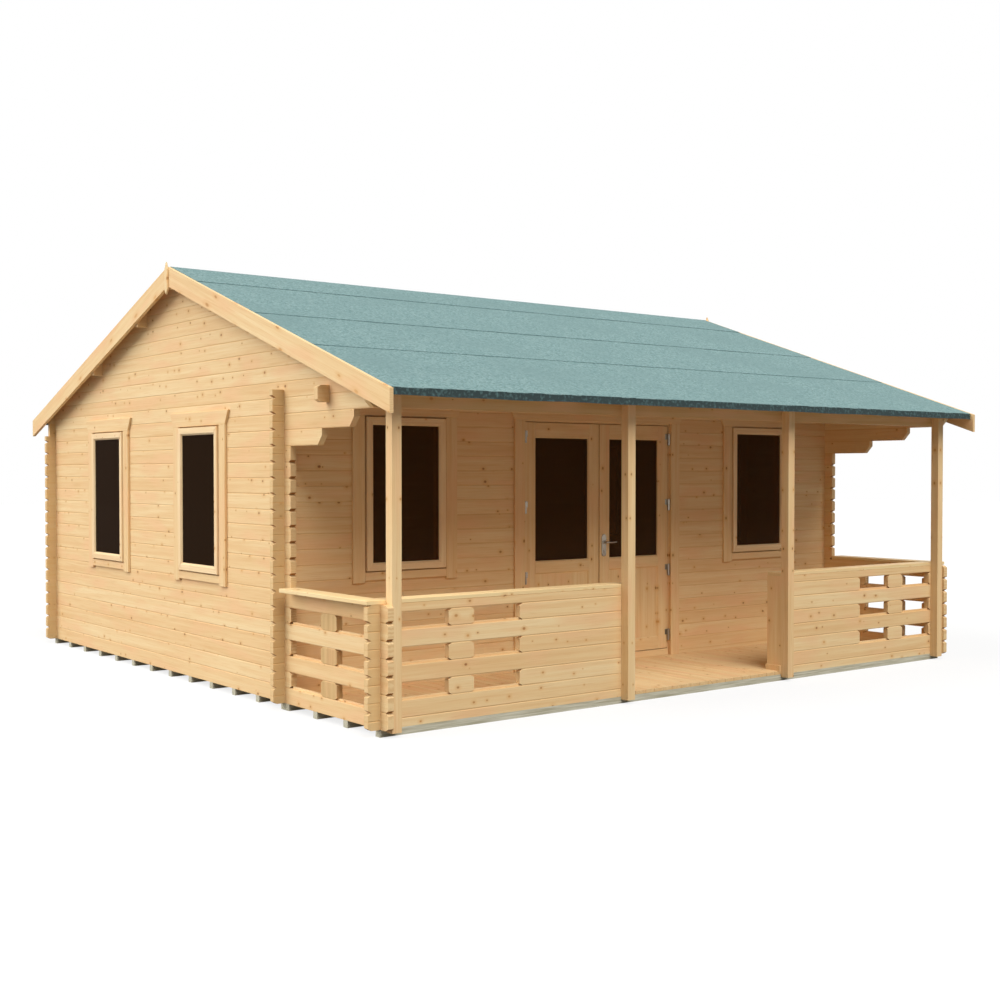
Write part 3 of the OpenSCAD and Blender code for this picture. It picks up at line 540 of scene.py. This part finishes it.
headLow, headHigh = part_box("front_wall_head")
bm = bmesh.new()
layBoards(bm, roomLow[0], headLow[0], headHigh[1], roomHigh[1], roomLow[2], roomHigh[2])
layBoards(bm, headLow[0], headHigh[0], roomLow[1], roomHigh[1], roomLow[2], roomHigh[2])
layBoards(bm, headHigh[0], roomHigh[0], headHigh[1], roomHigh[1], roomLow[2], roomHigh[2])
easeEdges(bm, boardLaying["ease"])
newPiece("room_boards", bm, [floorBoards], "cabin", ["cabin_floor"])
print("floors boarded")

# Rail caps: a board along each rail, mitred at the corner
capLook = {"width": 0.146, "ease": 0.003, "endBoard": 0.020}
capLow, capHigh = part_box("rail_caps")
postIn = endBoardHigh[0] - capLook["endBoard"]      # posts start where the end boards' faces are
bm = bmesh.new()
for s in (-1, 1):
    outer, inside = s * capHigh[0], s * (capHigh[0] - capLook["width"])
    front, back = capLow[1], capLow[1] + capLook["width"]
    corner = (outer, front), (inside, back)
    atPost = (s * postIn, front), (s * postIn, back)
    atWall = (outer, capHigh[1]), (inside, capHigh[1])
    for index, end in enumerate((atPost, atWall)):
        addPrism(bm, *[[(*p, capLow[2]), (*q, capLow[2]), (*q, capHigh[2]), (*p, capHigh[2])]
                       for p, q in (corner, end)], index)
easeEdges(bm, capLook["ease"])
newPiece("mitred_rail_caps", bm, [capAlongX, capAlongY], "cabin", ["rail_caps"])

# Finial boards: slim, pointed at both ends, over the meeting of the bargeboards
finialLook = {"half": 0.027, "thick": 0.013, "topCut": 0.060, "footCut": 0.040, "ease": 0.0015}
spec = finialLook
foot, top = (corner[2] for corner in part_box("finials"))
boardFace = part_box("bargeboards_right")[1][0]
half = spec["half"]
outline = ((0.0, top), (half, top - spec["topCut"]), (half, foot + spec["footCut"]), (0.0, foot),
           (-half, foot + spec["footCut"]), (-half, top - spec["topCut"]))
bm = bmesh.new()
for s in (-1, 1):
    addPrism(bm, *[[(s * x, y, z) for y, z in outline] for x in (boardFace, boardFace + spec["thick"])])
easeEdges(bm, spec["ease"])
newPiece("finial_boards", bm, [timberAlongZ], "cabin", ["finials"])

# Windows: mitred sash with a bevelled inner edge, lining in the wall, trim boards on its face
windowLook = {
    "sashWidth": 0.712, "sashHeight": 1.142, "bar": 0.060, "bevel": 0.014, "proud": 0.033, "gap": 0.010,
    "trim": 0.104, "trimThick": 0.020, "head": 0.112, "headOut": 0.058, "ear": 0.088, "sillUp": 0.018,
    "fit": 0.020, "lining": 0.012, "recess": 0.012, "seat": 0.0005, "ease": 0.002, "liningEase": 0.001,
}


def addHead(bm, at, half, foot, thick):
    # trim board over an opening, its ends slanting outwards
    ring = ((-half, foot), (half, foot), (half + windowLook["headOut"], foot + windowLook["head"]),
            (-half - windowLook["headOut"], foot + windowLook["head"]))
    addPrism(bm, [at(u, 0.0, w) for u, w in ring], [at(u, thick, w) for u, w in ring], 1)


def addWindow(name, node, at, trims, sashes):
    spec = windowLook
    width, height, thick = spec["sashWidth"], spec["sashHeight"], spec["trimThick"]
    side = width / 2 + spec["gap"]
    bm = bmesh.new()
    for s in (-1, 1):
        addBoard(bm, at, (min(s * side, s * (side + spec["trim"])), 0.0, -spec["ear"]),
                 (max(s * side, s * (side + spec["trim"])), thick, height + spec["gap"]))
    addHead(bm, at, side + spec["trim"], height + spec["gap"], thick)
    addBoard(bm, at, (-side, 0.0, spec["sillUp"] - spec["ear"]), (side, thick, -spec["gap"]), 1)
    easeEdges(bm, spec["ease"])
    newPiece(name + "_trim", bm, trims, "cabin", [node])
    bm = bmesh.new()
    back, bar, proud, bevel = -wallThick, spec["bar"], spec["proud"], spec["bevel"]
    addMitred(bm, at, width, height, [
        (0.0, back), (bar, back), (bar, proud - bevel), (bar - bevel, proud), (0.0, proud)])
    easeEdges(bm, spec["ease"])
    newPiece(name + "_sash", bm, sashes, "cabin")
    fit = spec["fit"]

    def atLining(u, v, w):
        return at(u, v, w - fit)

    bm = bmesh.new()
    seat = spec["seat"]
    addMitred(bm, atLining, width + 2 * fit, height + 2 * fit, [
        (0.0, -spec["recess"]), (0.0, back - spec["lining"]), (fit + bar, back - spec["lining"]),
        (fit + bar, back - seat), (fit - seat, back - seat), (fit - seat, -spec["recess"])])
    easeEdges(bm, spec["liningEase"])
    newPiece(name + "_lining", bm, trims, "cabin")


for name in [n for n in nodes if n.startswith("window_")]:
    low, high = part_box(name)
    middle = [(a + b) / 2 for a, b in zip(low, high)]
    sill = low[2] + windowLook["ear"]
    if name.startswith("window_front"):
        addWindow(name.replace("window_", ""), name, lambda u, v, w: (middle[0] + u, frontY - v, sill + w),
                  [trimAlongZ, trimAlongX], [sashAlongZ, sashAlongX])
    else:
        s = 1 if middle[0] > 0 else -1
        face = s * (max(abs(low[0]), abs(high[0])) - windowLook["proud"])
        addWindow(name.replace("window_", "gable_"), name, lambda u, v, w: (face + s * v, middle[1] + u, sill + w),
                  [trimAlongZ, trimAlongY], [sashAlongZ, sashAlongY])
print("windows framed")

# Door: frame of jambs, head, sill and stops, trim as at the windows, leaves of stiles, rails and sunk panels
doorLook = {
    "jamb": 0.812, "jambOut": 0.857, "rebate": 0.012, "lap": 0.013, "gap": 0.006,
    "stop": 0.018, "stopThick": 0.014, "ease": 0.002,
    "stile": 0.108, "topRail": 0.115, "footRail": 0.100, "glassFoot": 0.815, "midRail": 0.086,
    "sunk": 0.012, "bead": 0.011, "beadTop": 0.003, "beadSunk": 0.001,
}
leafLow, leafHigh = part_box("door_leaf_left")
leafWidth, leafHeight = leafHigh[0] - leafLow[0], leafHigh[2] - leafLow[2]
leafFront, leafThick = leafLow[1], leafHigh[1] - leafLow[1]
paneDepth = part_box("door_glass_left")[0][1] - leafFront
frameLow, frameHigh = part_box("door_frame")


def onWall(u, v, w):
    return u, frontY - v, w


bm = bmesh.new()
spec = doorLook
headZ = leafHigh[2] + spec["gap"]
sillZ = leafLow[2] - spec["gap"]
stopBack = frontY - frameHigh[1]
stopFront = stopBack + spec["stopThick"]
thick = windowLook["trimThick"]
jamb, jambOut, lap = spec["jamb"], spec["jambOut"], spec["lap"]
trimIn, trimTop = jamb + spec["rebate"], headZ + spec["rebate"]
trimOut = trimIn + windowLook["trim"]
stopIn = jamb - spec["stop"]
headTop = headZ + jambOut - jamb
for s in (-1, 1):
    for u0, u1, v0, v1, w0, w1 in (
            (jamb, jambOut, stopBack, -lap, frameLow[2], headTop),
            (trimIn, jambOut, -lap, 0.0, frameLow[2], trimTop),
            (stopIn, jamb, stopBack, stopFront, sillZ, headZ),
            (trimIn, trimOut, 0.0, thick, frameLow[2], trimTop)):
        addBoard(bm, onWall, (min(s * u0, s * u1), v0, w0), (max(s * u0, s * u1), v1, w1))
addBoard(bm, onWall, (-jamb, stopBack, headZ), (jamb, 0.0, headTop), 1)
addBoard(bm, onWall, (-stopIn, stopBack, headZ - spec["stop"]), (stopIn, stopFront, headZ), 1)
addBoard(bm, onWall, (-jamb, stopBack, frameLow[2]), (jamb, 0.0, sillZ), 1)
addHead(bm, onWall, trimOut, trimTop, thick)
easeEdges(bm, spec["ease"])
newPiece("door_casing", bm, [trimAlongZ, trimAlongX], "cabin", ["door_frame"])


def addLeaf(s, body):
    # local frame of a leaf: from the hinge side, depth from its front face, up from its foot
    def at(u, v, w):
        return s * (u + leafLow[0]) * -1, leafFront + v, leafLow[2] + w

    spec = doorLook
    stile, glassFoot, glassHead = spec["stile"], spec["glassFoot"], leafHeight - spec["topRail"]
    panelFoot, panelHead = spec["footRail"], glassFoot - spec["midRail"]
    bm = bmesh.new()
    for u in (0.0, leafWidth - stile):
        addBoard(bm, at, (u, 0.0, 0.0), (u + stile, leafThick, leafHeight))
    for w0, w1 in ((0.0, panelFoot), (panelHead, glassFoot), (glassHead, leafHeight)):
        addBoard(bm, at, (stile, 0.0, w0), (leafWidth - stile, leafThick, w1), 1)
    addBoard(bm, at, (stile, spec["sunk"], panelFoot), (leafWidth - stile, leafThick - spec["sunk"], panelHead), 0)
    easeEdges(bm, spec["ease"])
    # beads that hold the glass and line the sunk panel, on both faces
    for foot, high, deep in ((glassFoot, glassHead, paneDepth), (panelFoot, panelHead, spec["sunk"])):
        profile = [(0.0, spec["beadSunk"]), (0.0, deep), (spec["bead"], deep), (spec["beadTop"], spec["beadSunk"])]
        for near in (True, False):
            def atBead(u, v, w):
                return at(u + leafWidth / 2, v if near else leafThick - v, w + foot)
            addMitred(bm, atBead, leafWidth - 2 * stile, high - foot, profile)
    leaf = "door_leaf_left" if s < 0 else "door_leaf_right"
    newPiece(body + "_joinery", bm, [trimAlongZ, trimAlongX], body, [leaf])


addLeaf(-1, "left_leaf")
addLeaf(1, "right_leaf")
print("door hung")

# Lever handle on a long plate with round ends, key cylinder below the lever
handleLook = {
    "x": 0.052, "z": 1.098, "width": 0.050, "drop": 0.097, "rise": 0.041, "plate": 0.007, "out": 0.043,
    "plateSteps": ((0.0, 0.0), (0.0045, 0.0), (0.0065, 0.0012), (0.007, 0.004)),      # depth and inset of its edge
    "lever": 0.112, "sag": 0.004, "bend": 0.014, "rose": (0.014, 0.014, 0.010), "roseOut": (0.0, 0.006, 0.008),
    "grip": ((0.3, 0.0085, 0.0075), (0.5, 0.008, 0.007), (0.7, 0.008, 0.0068), (0.85, 0.0078, 0.0066),
             (0.96, 0.007, 0.006), (1.0, 0.003, 0.003)),      # part of the length, then the two radii
    "key": 0.0085, "keyOut": (0.0, 0.0035, 0.0045), "keyDrop": 0.074, "keySlot": (0.0035, 0.004, 0.020), "sunk": 0.001,
}
spec = handleLook
handleX, handleZ = spec["x"], spec["z"]
bm = bmesh.new()
radius = spec["width"] / 2
arc = 14
outline = []
for centre, start in ((spec["rise"], 0.0), (-spec["drop"], math.pi)):
    for k in range(arc + 1):
        turn = start + math.pi * k / arc
        outline.append((radius * math.cos(turn), centre + radius * math.sin(turn)))
rings = []
for depth, inset in spec["plateSteps"]:
    shrink = 1 - inset / radius
    rings.append([bm.verts.new((handleX + x * shrink, leafFront - depth, handleZ + z - math.copysign(inset, z)))
                  for x, z in outline])
skinRings(bm, rings)
face = leafFront - spec["plate"]
foot = face + spec["sunk"]
evenTube(bm, [(handleX, foot - out, handleZ) for out in spec["roseOut"]], spec["rose"], 24)
reach, bend, sag = leafFront - spec["out"], spec["bend"], spec["sag"]
path = [(handleX, face, handleZ), (handleX, reach + bend, handleZ), (handleX + 0.004, reach + 0.004, handleZ),
        (handleX + bend, reach, handleZ)]
path += [(handleX + spec["lever"] * t, reach, handleZ - sag * math.sin(math.pi * t)) for t, wide, high in spec["grip"]]
neck = [(0.009, 0.009)] * 3 + [(0.0085, 0.008)]
addTube(bm, path, neck + [(wide, high) for t, wide, high in spec["grip"]], 18)
keyZ = handleZ - spec["keyDrop"]
key, (slotHalf, slotOut, slotLong) = spec["key"], spec["keySlot"]
evenTube(bm, [(handleX, foot - out, keyZ) for out in spec["keyOut"]], (key, key, key - 0.001), 20)
addBoard(bm, world, (handleX - slotHalf, face - slotOut, keyZ - slotLong), (handleX + slotHalf, foot, keyZ))
newPiece("lever_handle", bm, [nickel], "right_leaf", ["door_handle"])

# Hinge sleeves round the barrels, with a flap screwed to the leaf
hingeLook = {
    "count": 4, "axis": (0.003, 0.012), "barrel": 0.096, "sleeve": 0.0112, "tip": 0.002, "round": 0.0015,
    "flap": (0.010, 0.031), "flapThick": 0.0022,
    "screw": 0.0042, "screwIn": 0.012, "screwOut": (-0.0005, 0.0006, 0.0011),
}
spec = hingeLook
for body, side in (("left_leaf", "left"), ("right_leaf", "right")):
    low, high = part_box("hinges_" + side)
    s = -1 if side == "left" else 1
    axisX, axisY = (leafLow[0] - spec["axis"][0]) * -s, leafFront - spec["axis"][1]
    half, tip, sleeve, screw = spec["barrel"] / 2, spec["tip"], spec["sleeve"], spec["screw"]
    pitch = (high[2] - low[2] - half) / (spec["count"] - 1)
    flapFace = leafFront - spec["flapThick"]
    upper, lower = bmesh.new(), bmesh.new()
    for i in range(spec["count"]):
        middle = low[2] + i * pitch
        for bm, z0, z1 in ((upper, middle + 0.0002, middle + half + tip),
                           (lower, middle - half - tip, middle - 0.0006)):
            path = [(axisX, axisY, z) for z in (z0, z0 + tip, z1 - tip, z1)]
            evenTube(bm, path, (sleeve - spec["round"], sleeve, sleeve, sleeve - spec["round"]), 20)
        u0, u1 = (axisX - s * u for u in spec["flap"])
        addBoard(upper, world, (min(u0, u1), flapFace, middle), (max(u0, u1), leafFront, middle + half))
        screwX = (u0 + u1) / 2 - s * 0.003      # a little off the sleeve
        for z in (middle + spec["screwIn"], middle + half - spec["screwIn"]):
            evenTube(upper, [(screwX, flapFace - out, z) for out in spec["screwOut"]], (screw, screw, screw * 0.6), 10)
    newPiece("hinge_sleeves_" + side, upper, [nickel], body)
    newPiece("hinge_seat_sleeves_" + side, lower, [nickel], "cabin")
print("handle and hinges fitted")


# Roof: tongued boards running down the slope, three lapped courses of felt and a strip over the ridge
roofLaying = {
    "feltThick": 0.005, "boardThick": 0.020, "seat": 0.0003,
    "boardGap": 0.0008, "boardEase": 0.003,
    "courses": (0.49, 1.45, 2.30), "lap": 0.075, "sheet": 0.003, "lift": 0.0035,
    "ripple": 0.0015, "rippleSize": 0.55, "fray": 0.004, "cellsAlong": 120,
    "stripSeat": 0.0054, "stripThick": 0.0032, "stripRipple": 0.0006,
    "fold": 0.052, "foldThick": 0.005, "foldWave": 0.004,
    "beads": (0.020, 0.017, 0.008), "beadRises": (0.0035, 0.0025, 0.0025), "beadTall": 0.0035,
}


def onRoof(side, run, depth, x):
    # point at a distance from the ridge on plan, at a depth square to the slope under the felt's face
    return x, side * run, ridgeZ - slope * run - depth / cosine


def deckSlope(side, name, replaced):
    top = roofLaying["feltThick"] + roofLaying["seat"]
    low = top + roofLaying["boardThick"]
    end = eaveOut - roofLaying["feltThick"] - roofLaying["seat"]
    count = round(2 * roofEnd / boardPitch)
    step = 2 * roofEnd / count
    bm = bmesh.new()
    for i in range(count):
        x0 = -roofEnd + i * step + roofLaying["boardGap"] / 2
        x1 = x0 + step - roofLaying["boardGap"]
        ring = ((x0, end), (x1, end), (x1, 0.0), (x0, 0.0))
        addPrism(bm, *[[onRoof(side, run, depth, x) for x, run in ring] for depth in (low, top)])
    easeEdges(bm, roofLaying["boardEase"])
    newPiece(name, bm, [roofDeck], "cabin", [replaced])


deckSlope(-1, "roof_deck_front", "roof_boards_front")
deckSlope(1, "roof_deck_rear", "roof_boards_rear")


def alongRoof(count):
    return [-roofEnd + 2 * roofEnd * i / count for i in range(count + 1)]


def skinSheet(bm, under, over):
    # closes two grids of points, one above the other, into a sheet
    last, across = len(over) - 1, len(over[0]) - 1
    for j in range(last):
        for i in range(across):
            bm.faces.new([over[j][i], over[j][i + 1], over[j + 1][i + 1], over[j + 1][i]])
            bm.faces.new([under[j][i], under[j + 1][i], under[j + 1][i + 1], under[j][i + 1]])
        for i in (0, across):
            bm.faces.new([under[j][i], over[j][i], over[j + 1][i], under[j + 1][i]])
    for j in (0, last):
        for i in range(across):
            bm.faces.new([under[j][i], under[j][i + 1], over[j][i + 1], over[j][i]])


def addSheet(bm, side, run0, run1, base0, base1, thick, seed):
    # a strip of felt from run0 down to run1, its underside base0 and base1 over the boards
    size = roofLaying["rippleSize"]
    down = max(2, round((run1 - run0) / 0.12))
    grids = []
    for layer in (0, 1):
        grid = []
        for j in range(down + 1):
            t = j / down
            run = run0 + (run1 - run0) * t
            line = []
            for x in alongRoof(roofLaying["cellsAlong"]):
                wave = noise.noise(Vector((x / size, run / size, seed)))
                rise = base0 + (base1 - base0) * t + layer * (thick + (0.5 + 0.5 * wave) * roofLaying["ripple"])
                edge = roofLaying["fray"] * noise.noise(Vector((x * 6.0, seed, 3.0))) if j == down else 0.0
                line.append(bm.verts.new(onRoof(side, run + edge, roofLaying["feltThick"] - rise, x)))
            grid.append(line)
        grids.append(grid)
    skinSheet(bm, *grids)


def feltSlope(side, name, replaced):
    upper, lower = roofLaying["courses"][1:]
    lap, sheet, lift = roofLaying["lap"], roofLaying["sheet"], roofLaying["lift"]
    bm = bmesh.new()
    addSheet(bm, side, lower - lap, eaveOut, 0.0, 0.0, sheet, 1.0 + side)
    addSheet(bm, side, upper - lap, lower, 0.0, lift, sheet, 11.0 + side)
    addSheet(bm, side, 0.002, upper, 0.0, lift, sheet, 21.0 + side)
    newPiece(name, bm, [felt], "cabin", [replaced])


feltSlope(-1, "felt_courses_front", "felt_front")
feltSlope(1, "felt_courses_rear", "felt_rear")


def ridgeFelt():
    # one sheet bent over the ridge
    down = 10
    bm = bmesh.new()
    grids = []
    for layer in (0, 1):
        grid = []
        for j in range(-down, down + 1):
            side = -1 if j < 0 else 1
            run = roofLaying["courses"][0] * abs(j) / down
            line = []
            for x in alongRoof(roofLaying["cellsAlong"]):
                wave = noise.noise(Vector((x / 0.6, j * 0.3, 31.0)))
                rise = roofLaying["stripSeat"] + layer * (roofLaying["stripThick"] + roofLaying["stripRipple"] * wave)
                edge = roofLaying["fray"] * noise.noise(Vector((x * 6.0, side * 5.0, 8.0))) if abs(j) == down else 0.0
                line.append(bm.verts.new(onRoof(side, run + edge, roofLaying["feltThick"] - rise, x)))
            grid.append(line)
        grids.append(grid)
    skinSheet(bm, *grids)
    newPiece("felt_ridge_strip", bm, [felt], "cabin", ["felt_ridge"])


ridgeFelt()


def addBead(bm, side, run, rise, bead, seed):
    # bitumen pressed out along a lap, of uneven width, drawn wide and dark enough to be painted shade under the lap's
    # edge as well
    top = roofLaying["feltThick"] - rise
    rings = []
    for x in alongRoof(320):
        width = bead * (0.75 + 0.6 * noise.noise(Vector((x * 3.1, seed, 0.0))))
        tall = roofLaying["beadTall"] + 0.001 * noise.noise(Vector((x * 5.3, seed, 2.0)))
        ring = ((run - 0.002, top), (run - 0.001, top - tall), (run + width, top - tall * 0.5), (run + width, top))
        rings.append([bm.verts.new(onRoof(side, r, d, x)) for r, d in ring])
    skinRings(bm, rings)


def addFold(bm, side):
    # felt turned down over the board ends, its foot a little wavy
    topZ, thick = ridgeZ - slope * eaveOut, roofLaying["foldThick"]
    rings = []
    for x in alongRoof(160):
        foot = roofLaying["fold"] + roofLaying["foldWave"] * noise.noise(Vector((x * 2.2, side, 5.0)))
        out = 0.0015 * noise.noise(Vector((x * 1.7, side, 9.0)))
        ring = ((thick, 0.001), (0.0, 0.001), (-0.001, foot), (thick - 0.001, foot))
        rings.append([bm.verts.new((x, side * (eaveOut + out - inset), topZ - drop)) for inset, drop in ring])
    skinRings(bm, rings)


bm = bmesh.new()
for side in (-1, 1):
    addFold(bm, side)
newPiece("bitumen_eaves", bm, [bitumen], "cabin")
bm = bmesh.new()
for side in (-1, 1):
    for run, rise, bead in zip(roofLaying["courses"], roofLaying["beadRises"], roofLaying["beads"]):
        addBead(bm, side, run, rise, bead, run + side)
newPiece("bitumen_laps", bm, [lapBitumenAndShade], "cabin")
print("roof felted")


# Studio: white floor and backdrop, a soft lamp from the left and behind, a soft one from the front, a little fill
studio = {"key": 2.92, "keySpread": 56.0, "keyTravel": (1.0, -0.60, -0.78),
          "front": 2.74, "frontSpread": 46.0, "frontTravel": (0.07, 0.62, -0.78), "fill": 0.24,
          "floorSize": 60.0, "floorSeen": "#F8F8F6", "floorTone": "#7C7C7B", "floorGlow": 0.78}


def seenRay(add):
    # one for rays that reach the eye straight, by mirror or through glass
    path = add("LightPath").outputs
    seen = add("Math", {0: path["Is Camera Ray"], 1: path["Is Glossy Ray"]}, operation="MAXIMUM").outputs[0]
    return add("Math", {0: seen, 1: path["Is Transmission Ray"]}, operation="MAXIMUM").outputs[0]


backdrop = bpy.data.worlds.new("studio_backdrop")
bpy.context.scene.world = backdrop
backdrop.use_nodes = True
backdrop.node_tree.nodes.clear()
add = partial(addNode, backdrop.node_tree)
strength = add("MapRange", {0: seenRay(add), 3: studio["fill"], 4: 1.0}).outputs[0]
sky = add("Background", {"Color": (1.0, 1.0, 1.0, 1.0), "Strength": strength})
add("OutputWorld", {0: sky.outputs[0]})

for name in ("key", "front"):
    lamp = bpy.data.lights.new(name + "_lamp", "SUN")
    lamp.energy = studio[name]
    lamp.angle = math.radians(studio[name + "Spread"])
    stand = bpy.data.objects.new(name + "_lamp", lamp)
    stand.rotation_euler = Vector(studio[name + "Travel"]).to_track_quat("-Z", "Y").to_euler()
    bpy.context.scene.collection.objects.link(stand)

floorMaterial, add = newMaterial("studio_floor_painted")
seen = seenRay(add)
tone = add("Mix", {0: seen, 6: srgb(studio["floorTone"]), 7: srgb(studio["floorSeen"])}, data_type="RGBA").outputs[2]
paint = add("BsdfDiffuse", {"Color": tone})
glow = add("Emission", {"Color": (1.0, 1.0, 1.0, 1.0), "Strength": 1.0})
amount = add("Math", {0: seen, 1: studio["floorGlow"]}, operation="MULTIPLY").outputs[0]
both = add("MixShader", {0: amount, 1: paint.outputs[0], 2: glow.outputs[0]})
add("OutputMaterial", {0: both.outputs[0]})
half = studio["floorSize"]
floorMesh = bpy.data.meshes.new("studio_floor")
floorMesh.from_pydata([(-half, -half, 0), (half, -half, 0), (half, half, 0), (-half, half, 0)], [], [(0, 1, 2, 3)])
floorMesh.materials.append(floorMaterial)
floor = bpy.data.objects.new("studio_floor", floorMesh)
bpy.context.scene.collection.objects.link(floor)

# Camera at the photograph's place, in metres and degrees
view = {"place": (-7.538, -10.141, 1.684), "turnRight": 37.59, "tiltDown": 1.16, "lens": 47.94}
lens = bpy.data.cameras.new("photo_camera")
lens.lens = view["lens"]
lens.sensor_width = 36.0
camera = bpy.data.objects.new("photo_camera", lens)
camera.location = view["place"]
camera.rotation_euler = (math.radians(90 - view["tiltDown"]), 0.0, math.radians(-view["turnRight"]))
bpy.context.scene.collection.objects.link(camera)
bpy.context.scene.camera = camera
bpy.context.scene.view_settings.view_transform = "Standard"
print("studio ready")
